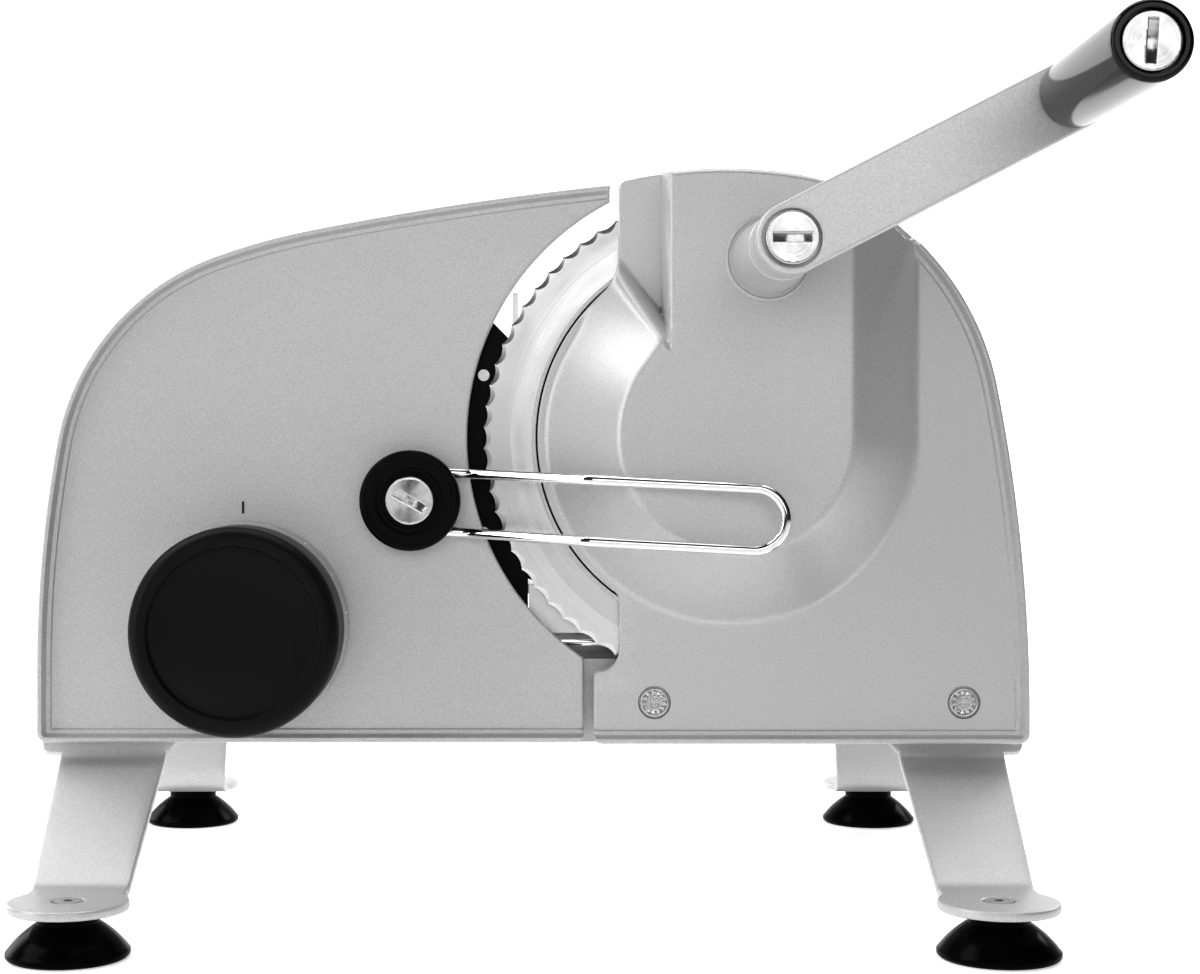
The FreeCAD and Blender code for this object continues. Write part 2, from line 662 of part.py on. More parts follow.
def cover_outline(inset=0.0):
    """The whole outline of the cover, seen from the front, anticlockwise."""
    side, (end_x, end_z), _ = cover_right_side(inset)
    guard = float(d.guard_radius)
    left, tab = float(d.cover_left), float(d.cover_tab)
    low, top = float(d.plate_low), float(d.cover_tab_top)
    right = side_start[0] - inset
    rounding = float(d.corner)
    upper = (bx + guard * math.cos(math.radians(130.3)), bz + guard * math.sin(math.radians(130.3)))
    lower = (bx + guard * math.cos(math.radians(232.2)), bz + guard * math.sin(math.radians(232.2)))
    return [(tab + 2.5, low), (right - rounding, low, rounding), (right, low + rounding)] + side + [
        (max(end_x, left + 2.6), end_z, 3.0), (left, end_z - 2.8), (left, bz + 63.5, -20.0),
        (upper[0], upper[1], guard), (lower[0], lower[1], -4.0), (left, bz - 56.5), (left, top + 6.0, -6.5),
        (left - 5.5, top), (tab + 2.5, top, 2.5), (tab, top - 2.5), (tab, low + 2.5, 2.5)]


def tower_loop(right, inset):
    """The upper part of the gear case at one depth, under the roof line moved inwards by inset."""
    _, junction, heading = cover_right_side(0.0, COVER_SIDE[:2])
    small, large = COVER_SIDE[2][0], COVER_SIDE[3][0]
    start = math.radians(heading)
    middle = (junction[0] - small * math.sin(start), junction[1] + small * math.cos(start))
    end = math.radians(heading + COVER_SIDE[2][1])
    roof = (middle[0] + (small - large) * math.sin(end), middle[1] - (small - large) * math.cos(end))
    left = float(d.tower_left)
    small, large = small - inset, large - inset
    return [(left, bz), (right, bz),
            (right, middle[1] + math.sqrt(small ** 2 - (right - middle[0]) ** 2), small),
            (middle[0] + small * math.sin(end), middle[1] - small * math.cos(end), large),
            (left, roof[1] + math.sqrt(large ** 2 - (left - roof[0]) ** 2))]


def polar(radius, angle):
    """A point about the blade axis."""
    return bx + radius * math.cos(math.radians(angle)), bz + radius * math.sin(math.radians(angle))


rim = d.cover_front - 3.0
cover = new_body("gear_cover")
pad(cover, "XZ_Plane", rim, d.cover_front + d.cover_wall, [cover_outline()])
pad(cover, "XZ_Plane", d.cover_front + d.cover_wall, d.fence_back - 0.6,
    [box_loop(d.cover_tab, d.plate_low, d.cover_tab + 11.0, d.cover_tab_top, 2.5)])
RIM_SIDE = ((580.0, 11.3), (95.5, 33.0))
for inset, level in ((float(d.rim_lip), rim + 2.2), (float(d.rim_wide), d.cover_front)):
    side, (end_x, end_z), _ = cover_right_side(inset, RIM_SIDE)
    low = float(d.plate_low) + inset
    right = side_start[0] - inset
    field = [(10.0, low), (right - 2.5, low, 2.5), (right, low + 2.5)] + side + [
        (end_x, end_z), (end_x + 6.0, end_z + 12.0), (end_x + 6.0, 270.0), (-10.0, 270.0), (-10.0, low)]
    pocket(cover, "XZ_Plane", rim - 0.5, level, [field[:-1]])
loft(cover, "XZ_Plane", [(d.cover_front + 0.5, Ring(d.blade_x, d.blade_z, d.bulge_foot)),
                         (d.bulge_front, Ring(d.blade_x, d.blade_z, d.bulge_face))])
roof_draft = 3.2
loft(cover, "XZ_Plane", [(d.cover_front + 0.5, tower_loop(bx + float(d.bulge_foot), 0.0)),
                         (d.bulge_front, tower_loop(bx + float(d.bulge_face), roof_draft))])
tower_left = float(d.tower_left)
foot_z, lean, slope = 205.0, 11.0, 1.238
beyond_x, beyond_z = -12.0, 270.0
cut_rise = slope * (tower_left - beyond_x)
loft(cover, "XZ_Plane", [
    (d.cover_front, [(tower_left, foot_z), (tower_left, beyond_z), (beyond_x, beyond_z),
                     (beyond_x, foot_z + cut_rise)]),
    (d.bulge_front - 2.0, [(tower_left, foot_z - lean), (tower_left, beyond_z), (beyond_x, beyond_z),
                           (beyond_x, foot_z - lean + cut_rise)])], cut=True)
cover_left = float(d.cover_left)
tab_top = float(d.cover_tab_top)
cover_front = float(d.cover_front)
pocket(cover, "XY_Plane", Size.of(tab_top - 1.0), Size.of(bz - 58.0),
       [[(cover_left + 5.5, cover_front), (cover_left, cover_front + 2.3),
         (cover_left - 3.0, cover_front + 2.3), (cover_left - 3.0, cover_front - 4.0),
         (cover_left + 5.5, cover_front - 4.0)]])
pocket(cover, "YZ_Plane", d.cover_tab - 1.0, d.cover_tab + 11.0,
       [[(cover_front, tab_top - 6.5), (cover_front + 5.6, tab_top), (cover_front + 5.6, tab_top + 1.0),
         (cover_front - 4.0, tab_top + 1.0), (cover_front - 4.0, tab_top - 6.5)]])
loft(cover, "XZ_Plane", [(d.bulge_front + 0.5, Ring(d.crank_x, d.crank_z, d.boss_foot)),
                         (d.bulge_front - d.boss_long, Ring(d.crank_x, d.crank_z, d.boss_tip))])
# The inside of the casting: room for the two gears, and lightening behind the cone and the tower.
inner = d.cover_front + d.cover_wall
gear_floor = d.gear_front - 2.0
blade_gear_room = d.gear_module * (d.blade_teeth + 2.0) / 2.0 + 3.0
crank_gear_room = d.gear_module * (d.crank_teeth + 2.0) / 2.0 + 0.7
pocket(cover, "XZ_Plane", gear_floor, inner + 1.0, [Ring(d.blade_x, d.blade_z, blade_gear_room)])
pocket(cover, "XZ_Plane", gear_floor, inner + 1.0, [Ring(d.crank_x, d.crank_z, crank_gear_room)])
behind_cone = []
for level, radius in ((inner + 1.0, float(d.bulge_foot) - 5.5), (gear_floor, float(blade_gear_room) + 0.5)):
    behind_cone.append((level, [(bx, bz), (*polar(radius, 126.0), radius), (*polar(radius, 250.0), radius),
                                polar(radius, 370.0)]))
loft(cover, "XZ_Plane", behind_cone, cut=True)
tower_room = []
for level, right in ((inner + 1.0, bx + float(d.bulge_foot) - 7.0),
                     (d.bulge_front + d.cover_wall, bx + float(d.bulge_face) - 3.4)):
    tower_room.append((level, [(tower_left + 3.4, bz + 40.0), (right, bz + 12.0), (right, bz + 58.0),
                               (right - 14.0, bz + 76.0), (tower_left + 3.4, bz + 82.0)]))
loft(cover, "XZ_Plane", tower_room, cut=True)
blade_bore = d.shaft_radius + d.bush_wall
crank_bore = d.crank_shaft_radius + d.bush_wall
boss_end = d.bulge_front - d.boss_long
bush_deep = 9.5
pocket(cover, "XZ_Plane", gear_floor - bush_deep, gear_floor + 1.0, [Ring(d.blade_x, d.blade_z, blade_bore)])
pocket(cover, "XZ_Plane", boss_end - 1.0, d.bulge_front + d.cover_wall + 1.0,
       [Ring(d.crank_x, d.crank_z, crank_bore)])
pocket(cover, "XZ_Plane", d.cover_front - 0.5, d.cover_front + 1.6,
       [Ring(x, cover_screw_z, 5.5) for x in cover_screw_x])
pocket(cover, "XZ_Plane", d.cover_front - 0.5, inner + 1.0,
       [Ring(x, cover_screw_z, cover_screw) for x in cover_screw_x])

# Blade surround: the plate behind the cover that closes it round the blade.
surround = new_body("blade_surround")
surround_inset = 2.5
surround_side, (surround_x, surround_z), _ = cover_right_side(surround_inset)
surround_left = float(d.cover_tab) + 12.5
surround_low = float(d.plate_low) + 2.0
pad(surround, "XZ_Plane", inner, d.fence_back, [[
    (surround_left, surround_low), (side_start[0] - surround_inset, surround_low), *surround_side,
    (surround_x + 1.0, surround_z), (surround_left, surround_z - 1.0)]])
pocket(surround, "XZ_Plane", inner - 1.0, d.fence_back + 1.0,
       [Ring(d.blade_x, d.blade_z, d.blade_radius + 1.5)])
spacer = 7.0
for x, seat in zip(cover_screw_x, (d.base_front, d.base_front - d.leg_sheet)):
    pad(surround, "XZ_Plane", d.fence_back, seat, [Ring(x, cover_screw_z, spacer)])
pocket(surround, "XZ_Plane", inner - 1.0, d.base_front + 1.0,
       [Ring(x, cover_screw_z, cover_screw) for x in cover_screw_x])

cover_bolt = master_screw("cover_bolt", 4.7, 1.7, 2.5, 20.0, socket=2.2)
bolt_front = d.cover_front - 0.1
group("cover_screws",
      (facing(cover_bolt, Vector(0, -1, 0)), [(x, bolt_front, cover_screw_z) for x in cover_screw_x]))
nut = doc.addObject("PartDesign::Body", "hex_nut")
nut_seat = d.base_front + d.base_sheet
hexagon = [(4.6 * math.cos(math.radians(60 * k)), 4.6 * math.sin(math.radians(60 * k))) for k in range(6)]
pad(nut, "XZ_Plane", nut_seat, nut_seat + 4.0, [hexagon, Ring(0.0, 0.0, cover_screw)])
group("cover_nuts", (nut, [(x, 0.0, cover_screw_z) for x in cover_screw_x]))

# Bushes of the crank and the blade shaft.
crank_bush = doc.addObject("PartDesign::Body", "crank_bush")
bush_long = 12.0
turn(crank_bush, "XY_Plane", box_loop(d.crank_shaft_radius + d.fit, 0.0, crank_bore, bush_long))
bush_places = [(d.crank_x, boss_end, d.crank_z),
               (d.crank_x, d.bulge_front + d.cover_wall - bush_long, d.crank_z)]
group("crank_bushes", (crank_bush, bush_places))
turned("blade_bush", d.blade_x, d.blade_z,
       box_loop(d.shaft_radius + d.fit, gear_floor - bush_deep, blade_bore, gear_floor))


# Gears: involute teeth worked out from module and tooth count.
def gear_outline(teeth, tooth_first):
    """Corners of a spur gear with 20 degree teeth; tooth_first turns its first tooth's middle, in degrees."""
    module = float(d.gear_module)
    pitch = module * teeth / 2
    base_circle = pitch * math.cos(math.radians(20))
    tip, root = pitch + module, pitch - 1.25 * module

    def roll(radius):
        """Angle of the involute at a radius."""
        if radius <= base_circle:
            return 0.0
        reach = math.sqrt(radius ** 2 - base_circle ** 2) / base_circle
        return reach - math.atan(reach)

    half_tooth = (math.pi * module / 2 - float(d.gear_play)) / 2 / pitch
    steps = [root, max(base_circle, root + 0.2), (pitch + base_circle) / 2, pitch, (pitch + tip) / 2, tip]
    points = []
    for tooth in range(teeth):
        middle = math.radians(tooth_first) + 2 * math.pi * tooth / teeth
        for way, radii in ((-1, steps), (1, steps[::-1])):
            for radius in radii:
                angle = middle + way * (half_tooth + roll(pitch) - roll(radius))
                points.append((radius * math.cos(angle), radius * math.sin(angle)))
    return points


def gear(name, x, z, teeth, tooth_first, bore):
    """A spur gear on its shaft, made as one face pushed along its axis."""
    front, wide = float(d.gear_front), float(d.gear_wide)
    corners = [Vector(u, front, v) for u, v in gear_outline(teeth, tooth_first)]
    outer = Part.makePolygon(corners + corners[:1])
    hole = Part.Wire(Part.makeCircle(bore, Vector(0, front, 0), Vector(0, 1, 0)))
    face = Part.Face([outer, hole])
    solid = face.extrude(Vector(0, wide, 0))
    place(keep_shape(name, solid), x=x, z=z)


towards_blade = math.degrees(math.atan2(float(d.blade_z - d.crank_z), float(d.blade_x - d.crank_x)))
half_gap = 180.0 / float(d.blade_teeth)
gear("crank_gear", d.crank_x, d.crank_z, int(float(d.crank_teeth)), towards_blade,
     float(d.crank_shaft_radius))
gear("blade_gear", d.blade_x, d.blade_z, int(float(d.blade_teeth)), towards_blade + 180.0 + half_gap,
     float(d.shaft_radius))

# Crank: shaft, arm with its hub, spindle and grip.
shaft_back = d.gear_front + d.gear_wide + 3.0
shaft_front = d.arm_front + 5.0
crank_thread = 3.0
turned("crank_shaft", d.crank_x, d.crank_z, [
    (0.0, shaft_back), (0.0, shaft_front + 14.0), (crank_thread, shaft_front + 14.0),
    (crank_thread, shaft_front), (d.crank_shaft_radius, shaft_front),
    (d.crank_shaft_radius, shaft_back - 1.6),
    (d.crank_shaft_radius - 0.8, shaft_back - 1.6), (d.crank_shaft_radius - 0.8, shaft_back - 0.6),
    (d.crank_shaft_radius, shaft_back - 0.6), (d.crank_shaft_radius, shaft_back)])
turned("crank_clip", d.crank_x, d.crank_z,
       box_loop(d.crank_shaft_radius - 0.8, shaft_back - 1.6, d.crank_shaft_radius + 2.5, shaft_back - 0.6))

arm = new_body("crank_arm")
lean = math.atan2(float(d.grip_z - d.crank_z), float(d.grip_x - d.crank_x))
cos_lean, sin_lean = math.cos(lean), math.sin(lean)


def arm_loop(half):
    """The outline of the arm: a bar with round ends, along the line from the crank to the grip."""
    return [(d.crank_x + half * sin_lean, d.crank_z - half * cos_lean),
            (d.grip_x + half * sin_lean, d.grip_z - half * cos_lean, half),
            (d.grip_x + half * cos_lean, d.grip_z + half * sin_lean, half),
            (d.grip_x - half * sin_lean, d.grip_z + half * cos_lean),
            (d.crank_x - half * sin_lean, d.crank_z + half * cos_lean, half),
            (d.crank_x - half * cos_lean, d.crank_z - half * sin_lean, half)]


arm_back = d.arm_front + d.arm_gauge
arm_edge = 0.9
loft(arm, "XZ_Plane", [(arm_back, arm_loop(d.arm_wide)), (d.arm_front + arm_edge, arm_loop(d.arm_wide)),
                       (d.arm_front, arm_loop(d.arm_wide - arm_edge))])
pad(arm, "XZ_Plane", arm_back, boss_end - d.gap, [Ring(d.crank_x, d.crank_z, d.boss_tip - 0.3)])
pocket(arm, "XZ_Plane", shaft_front, boss_end + 1.0, [Ring(d.crank_x, d.crank_z, d.crank_shaft_radius)])
pocket(arm, "XZ_Plane", d.arm_front - 1.0, d.arm_front + 3.0, [Ring(d.crank_x, d.crank_z, d.coin_head + 0.6)])
pocket(arm, "XZ_Plane", d.arm_front - 1.0, shaft_front + 1.0, [Ring(d.crank_x, d.crank_z, crank_thread)])
pocket(arm, "XZ_Plane", d.arm_front - 1.0, arm_back + 1.0, [Ring(d.grip_x, d.grip_z, d.spindle_radius)])


def coin_screw(name, x, z, front, deep, slot_angle, shank, long, forwards=True):
    """A round-headed screw with a coin slot; front is the face of its head, on the side it is turned from."""
    body = new_body(name)
    place(body, x=x, y=front, z=z)
    way = 1.0 if forwards else -1.0
    profile = [(0.0, 0.0), (d.coin_head - 0.5, 0.0), (d.coin_head, 0.5 * way), (d.coin_head, deep * way),
               (shank, deep * way), (shank, long * way), (0.0, long * way)]
    turn(body, "XY_Plane", profile if forwards else profile[::-1])
    half, reach = float(d.coin_slot) / 2, float(d.coin_head) * 0.76
    turn_by = math.radians(slot_angle)
    ways = ((-reach, -half), (reach, -half), (reach, half), (-reach, half))
    corners = [(u * math.cos(turn_by) - v * math.sin(turn_by), u * math.sin(turn_by) + v * math.cos(turn_by))
               for u, v in ways]
    low, high = (-1.0, 1.5) if forwards else (-1.5, 1.0)
    pocket(body, "XZ_Plane", Size.of(low), Size.of(high), [corners])
    return body


head_deep = 3.2
coin_screw("crank_screw", d.crank_x, d.crank_z, d.arm_front - 0.2, head_deep, 0.0, crank_thread, 17.0)
grip_end = d.arm_front - d.grip_long
spindle_front = grip_end + 6.0
turned("grip_spindle", d.grip_x, d.grip_z, [
    (0.0, arm_back), (0.0, spindle_front + 12.0), (2.5, spindle_front + 12.0), (2.5, spindle_front),
    (d.spindle_radius, spindle_front), (d.spindle_radius, arm_back)])
coin_screw("grip_screw", d.grip_x, d.grip_z, grip_end + 0.6, head_deep, 86.0, 2.5, 16.0)
recess = d.coin_head + 0.5
grip_root = d.arm_front - d.gap
turned("crank_grip", d.grip_x, d.grip_z, [
    (d.spindle_radius + 0.08, grip_root), (d.spindle_radius + 0.08, grip_end + 0.6 + head_deep + d.gap),
    (recess, grip_end + 0.6 + head_deep + d.gap), (recess, grip_end), (d.grip_tip - 1.6, grip_end, 1.6),
    (d.grip_tip, grip_end + 1.6, 1500.0), (d.grip_foot + 0.2, grip_root - 9.0),
    (d.grip_foot, grip_root - 1.0), (d.grip_foot - 1.0, grip_root)])

# Blade: disc with a wavy edge and a ground bevel, its shaft, gear and coin-slot screw.
blade = new_body("slicing_blade")
place(blade, x=d.blade_x, z=d.blade_z)
face = d.fence_back
back = d.fence_back - d.blade_gauge
seat = d.fence_back - d.seat_depth
cone_end = d.seat_radius + d.seat_depth * 1.6
blade_screw_hole = 4.0
turn(blade, "XY_Plane", [
    (blade_screw_hole, seat), (d.seat_radius, seat), (cone_end, face), (d.blade_radius + 1.0, face),
    (d.blade_radius, face - 0.25), (d.bevel_radius, back), (cone_end, back),
    (d.seat_radius, seat - d.blade_gauge), (blade_screw_hole, seat - d.blade_gauge)])
count = int(float(d.wave_count))
tip, dip = float(d.blade_radius), float(d.wave_depth)
chord = 2 * tip * math.sin(math.pi / count)
sag = tip * (1 - math.cos(math.pi / count))
hollow = dip - sag
wave_bend = (chord * chord / 4 + hollow * hollow) / (2 * hollow)
waves = []
for wave in range(count):
    angle = 2 * math.pi * wave / count
    waves.append((tip * math.cos(angle), tip * math.sin(angle), -wave_bend))
pocket(blade, "XZ_Plane", back - 5.0, face + 5.0, [Ring(0.0, 0.0, tip + 6.0), waves])

flange_radius = d.seat_radius - 1.0
carrier_front = seat - d.blade_gauge
shaft = turned("blade_shaft", d.blade_x, d.blade_z, [
    (0.0, gear_floor - bush_deep + 0.3), (d.shaft_radius, gear_floor - bush_deep + 0.3),
    (d.shaft_radius, d.gear_front + d.gear_wide), (flange_radius - 6.0, d.gear_front + d.gear_wide),
    (flange_radius, d.gear_front + d.gear_wide + 3.0), (flange_radius, carrier_front),
    (blade_screw_hole, carrier_front), (blade_screw_hole, carrier_front - 14.0), (0.0, carrier_front - 14.0)])
coin_screw("blade_screw", d.blade_x, d.blade_z, d.fence_back - 0.2, d.seat_depth - 0.2, 20.0,
           blade_screw_hole, 14.0, forwards=False)
carrier_head = 1.7
carrier_hole = 1.6
carrier_screw = master_screw("carrier_screw", 3.0, carrier_head, carrier_hole, 6.0, socket=1.2)
screw_ring = 16.0
ring_places = [(screw_ring * math.cos(math.radians(angle)), screw_ring * math.sin(math.radians(angle)))
               for angle in (30, 150, 270)]
carrier_places = [(bx + u, seat + carrier_head, bz + v) for u, v in ring_places]
group("carrier_screws", (facing(carrier_screw, Vector(0, 1, 0)), carrier_places))
for body, low, high in ((blade, seat - 4.0, seat + 1.0), (shaft, carrier_front - 4.5, carrier_front + 1.0)):
    pocket(body, "XZ_Plane", low, high, [Ring(u, v, carrier_hole + 0.05) for u, v in ring_places])

# Fence: the stop plate with its raised rim, guide pins and the stud of the deflector.
FENCE_SIDE = ((1100.0, 5.5), (220.0, 8.75), (84.0, 59.7), (438.0, 10.2))


def fence_side(inset):
    """The smooth top and left side of the fence, moved inwards by inset."""
    heading = 185.85
    start = math.radians(heading)
    x = float(d.fence_tip_x) - inset * math.sin(start)
    z = float(d.fence_tip_z) + inset * math.cos(start)
    return chain(x, z, heading, [(radius - inset, sweep) for radius, sweep in FENCE_SIDE])


def fence_outline():
    """The outline of the fence, seen from the front, anticlockwise."""
    side, (left, left_z), _ = fence_side(0.0)
    low, right = float(d.plate_low), float(d.fence_right)
    tip = float(d.fence_tip_x)
    throat = float(d.throat_radius)
    centre = bx + float(d.throat_shift)
    upper = bz + math.sqrt(throat ** 2 - (tip - centre) ** 2)
    lower = bz - math.sqrt(throat ** 2 - (right - centre) ** 2)
    rounding = float(d.corner)
    return [(left + rounding, low), (right - 3.0, low, 3.0), (right, low + 3.0), (right, lower, -throat),
            (centre - throat, bz, -throat), (tip, upper), (tip, side[0][1] - 0.6), *side, (left, left_z),
            (left, low + rounding, rounding)]


fence = new_body("fence_plate")
pad(fence, "XZ_Plane", d.rim_front, d.fence_back, [fence_outline()])
for inset, level in ((float(d.rim_lip), d.rim_step), (float(d.rim_wide), d.fence_flat)):
    side, (left, left_z), _ = fence_side(inset)
    low = float(d.plate_low) + inset
    rounding = 2.5
    field = [(left + rounding, low), (60.0, low), (60.0, side[0][1] + 3.0), *side, (left, left_z),
             (left, low + rounding, rounding)]
    pocket(fence, "XZ_Plane", d.rim_front - 0.5, level, [field])
pocket(fence, "XZ_Plane", d.rim_front - 1.0, d.fence_back + 1.0,
       [Ring(d.knob_x, d.knob_z, d.hub_radius + d.fit)])
stud_radius = 5.0
pocket(fence, "XZ_Plane", d.rim_front - 1.0, d.fence_back + 1.0, [Ring(d.clamp_x, d.clamp_z, stud_radius)])
pin_seat = 1.6
pocket(fence, "XZ_Plane", d.fence_back - pin_seat, d.fence_back + 1.0,
       [Ring(x, z, d.pin_radius) for x, z in pin_places])

pin = doc.addObject("PartDesign::Body", "guide_pin")
pin_end = -15.0
turn(pin, "XY_Plane", [(0.0, d.fence_back - pin_seat), (d.pin_radius, d.fence_back - pin_seat),
                       (d.pin_radius, pin_end - 1.0), (d.pin_radius - 1.0, pin_end), (0.0, pin_end)])
group("fence_guide_pins", (pin, [(x, 0.0, z) for x, z in pin_places]))

# Thickness setting: bracket and spindle on the base; knob with dial and nut on the fence.
adjuster = new_body("adjuster_bracket")
bracket_half = 15.0
bracket_front = d.base_front - d.base_sheet
pad(adjuster, "XZ_Plane", bracket_front, d.base_front,
    [box_loop(d.knob_x - bracket_half, Size.of(60.0), d.knob_x + bracket_half, d.knob_z + 9.7, 3.0)])
pocket(adjuster, "XZ_Plane", bracket_front - 1.0, d.base_front + 1.0,
       [Ring(d.knob_x + way * 9.0, d.bracket_screw_z, d.leg_screw + 0.05) for way in (-1, 1)])
spindle_rivet = 3.5
pocket(adjuster, "XZ_Plane", bracket_front - 1.0, d.base_front + 1.0,
       [Ring(d.knob_x, d.knob_z, spindle_rivet)])
bracket_screw_y = d.base_front + d.base_sheet + wall_head
group("bracket_screws",
      (backward_screw, [(d.knob_x + way * 9.0, bracket_screw_y, d.bracket_screw_z) for way in (-1, 1)]))
spindle_end = -84.0
turned("adjuster_spindle", d.knob_x, d.knob_z, [
    (0.0, spindle_end), (d.screw_radius - 1.2, spindle_end), (d.screw_radius, spindle_end + 1.2),
    (d.screw_radius, bracket_front), (spindle_rivet, bracket_front), (spindle_rivet, d.base_front),
    (0.0, d.base_front)])
hub_back = -52.8
nut_back, nut_front = -60.0, -75.0
turned("spindle_nut", d.knob_x, d.knob_z,
       box_loop(d.screw_radius + d.fit, nut_front, d.nut_radius, nut_back))
groove_low, groove_high = -53.9, -53.1
turned("knob_retainer", d.knob_x, d.knob_z,
       box_loop(d.hub_radius - 0.9, groove_low, d.hub_radius + 2.4, groove_high))
knob_radius = d.knob_radius
knob_front = d.knob_front
turned("thickness_knob", d.knob_x, d.knob_z, [
    (d.nut_radius, hub_back), (d.nut_radius, -86.2), (0.0, -86.2), (0.0, knob_front + 3.7),
    (knob_radius - 7.5, knob_front + 1.6), (knob_radius - 6.7, knob_front + 1.1),
    (knob_radius - 6.0, knob_front), (knob_radius - 4.5, knob_front, 4.5), (knob_radius, knob_front + 4.5),
    (knob_radius, d.dial_front), (knob_radius - 3.2, d.dial_front), (knob_radius - 3.2, knob_front + 9.0),
    (d.hub_radius, knob_front + 9.0), (d.hub_radius, groove_low), (d.hub_radius - 0.9, groove_low),
    (d.hub_radius - 0.9, groove_high), (d.hub_radius, groove_high), (d.hub_radius, hub_back)][::-1])
dial_back = -57.8
turned("dial_ring", d.knob_x, d.knob_z, [
    (knob_radius - 8.0, d.dial_front), (d.dial_radius, d.dial_front), (d.dial_radius, dial_back),
    (d.dial_radius - 2.0, dial_back), (d.dial_radius - 2.0, d.dial_front + 2.5),
    (knob_radius - 8.0, d.dial_front + 2.5)])

# Slice deflector: a wire loop held in a disc that swings on a stud of the fence.
stud_front = -63.0
clamp_thread = 3.0
turned("deflector_stud", d.clamp_x, d.clamp_z,
       box_loop(clamp_thread + d.fit, stud_front, Size.of(stud_radius), d.fence_back))
disc = new_body("deflector_clamp")
place(disc, x=d.clamp_x, z=d.clamp_z)
clamp_back = d.fence_flat - 0.7
turn(disc, "XY_Plane", [
    (stud_radius + d.fit, clamp_back), (stud_radius + d.fit, stud_front - d.gap),
    (clamp_thread, stud_front - d.gap), (clamp_thread, d.clamp_front + 2.6),
    (d.coin_head + 1.6, d.clamp_front + 2.6), (d.coin_head + 1.6, d.clamp_front + 1.0),
    (d.coin_head + 3.4, d.clamp_front + 1.0), (d.coin_head + 3.4, d.clamp_front),
    (d.clamp_radius - 0.8, d.clamp_front), (d.clamp_radius, d.clamp_front + 0.8),
    (d.clamp_radius, clamp_back)][::-1])
socket_end = 6.5
tilt = math.radians(-float(d.wire_tilt))
cos_tilt, sin_tilt = math.cos(tilt), math.sin(tilt)


def along_loop(u, y, w):
    """A point of the deflector: u along the loop, w across it."""
    return Vector(d.clamp_x + u * cos_tilt - w * sin_tilt, float(y), d.clamp_z + u * sin_tilt + w * cos_tilt)


def rounded_run(points, bend):
    """Straight runs through the points with arcs of one radius at the corners."""
    edges = []
    here = points[0]
    for corner, after in zip(points[1:-1], points[2:]):
        arrive = (corner - here).normalize()
        leave = (after - corner).normalize()
        half = math.acos(max(-1.0, min(1.0, arrive.dot(leave)))) / 2
        set_back = bend * math.tan(half)
        start, end = corner - arrive * set_back, corner + leave * set_back
        inward = (leave - arrive).normalize()
        top = corner + inward * (bend / math.cos(half) - bend)
        edges += [Part.makeLine(here, start), Part.Arc(start, top, end).toShape()]
        here = end
    edges.append(Part.makeLine(here, points[-1]))
    return edges


wire_half = float(d.wire_half)
loop_end = float(d.wire_reach) - wire_half - float(d.wire_radius)
way_out = [(socket_end, d.wire_back), (20.0, d.wire_back), (60.0, d.wire_knee), (loop_end, d.wire_front)]
upper_run = rounded_run([along_loop(u, y, wire_half) for u, y in way_out], 8.0)
lower_run = rounded_run([along_loop(u, y, -wire_half) for u, y in reversed(way_out)], 8.0)
slope = Vector(loop_end - 60.0, float(d.wire_front - d.wire_knee), 0).normalize()
turn_point = along_loop(loop_end + wire_half * slope.x, float(d.wire_front) + wire_half * slope.y, 0.0)
u_turn = Part.Arc(along_loop(loop_end, d.wire_front, wire_half), turn_point,
                  along_loop(loop_end, d.wire_front, -wire_half)).toShape()
path = Part.Wire(upper_run + [u_turn] + lower_run)
wire_start = along_loop(socket_end, d.wire_back, wire_half)
wire_way = along_loop(socket_end + 1.0, d.wire_back, wire_half) - wire_start
profile = Part.Wire(Part.makeCircle(float(d.wire_radius), wire_start, wire_way))
keep_shape("deflector_loop", path.makePipeShell([profile], True, True))
socket_long = float(d.clamp_radius) + 2.0
wire_thick = float(d.wire_radius)
for way in (-1, 1):
    low, high = way * wire_half - wire_thick, way * wire_half + wire_thick
    ways = ((socket_end, low), (socket_long, low), (socket_long, high), (socket_end, high))
    corners = [(u * cos_tilt - w * sin_tilt, u * sin_tilt + w * cos_tilt) for u, w in ways]
    pocket(disc, "XZ_Plane", d.wire_back - d.wire_radius, d.wire_back + d.wire_radius, [corners])
coin_screw("deflector_screw", d.clamp_x, d.clamp_z, d.clamp_front - 0.2, 2.8, -29.0, clamp_thread, 13.5)

# Food carriage: table with aprons, pusher wall and finger guard, sliding on the rail.
table = new_body("carriage_table")
sheet_gauge = d.table_sheet
top_low = d.table_top - sheet_gauge
pad(table, "XY_Plane", top_low, d.table_top,
    [box_loop(d.table_left, d.table_front, d.table_right, d.table_back, 3.0)])
pad(table, "XZ_Plane", d.table_front, d.table_front + sheet_gauge,
    [box_loop(d.apron_left, d.apron_low, d.table_right - 3.0, top_low + 0.5)])
pad(table, "XZ_Plane", d.table_back - sheet_gauge, d.table_back,
    [box_loop(d.table_left + 3.0, d.apron_low + 5.0, d.table_right - 3.0, top_low + 0.5)])
shoe_back = d.table_back - sheet_gauge
shoe_front = shoe_back - 10.0
shoe_middle = float(shoe_front) + 5.0
table_screws = [(16.0, float(d.rail_y)), (44.0, float(d.rail_y)), (16.0, shoe_middle), (84.0, shoe_middle)]
pin_hole = 1.6
for x, y in table_screws:
    loft(table, "XY_Plane", [(d.table_top + 0.1, Ring(x, y, 4.0)), (top_low - 0.1, Ring(x, y, pin_hole))],
         cut=True)
pocket(table, "XY_Plane", top_low - 1.0, d.table_top + 1.0,
       [box_loop(d.table_left - 1.0, d.table_front - 1.0, d.apron_left, d.table_front + sheet_gauge + 0.3)])

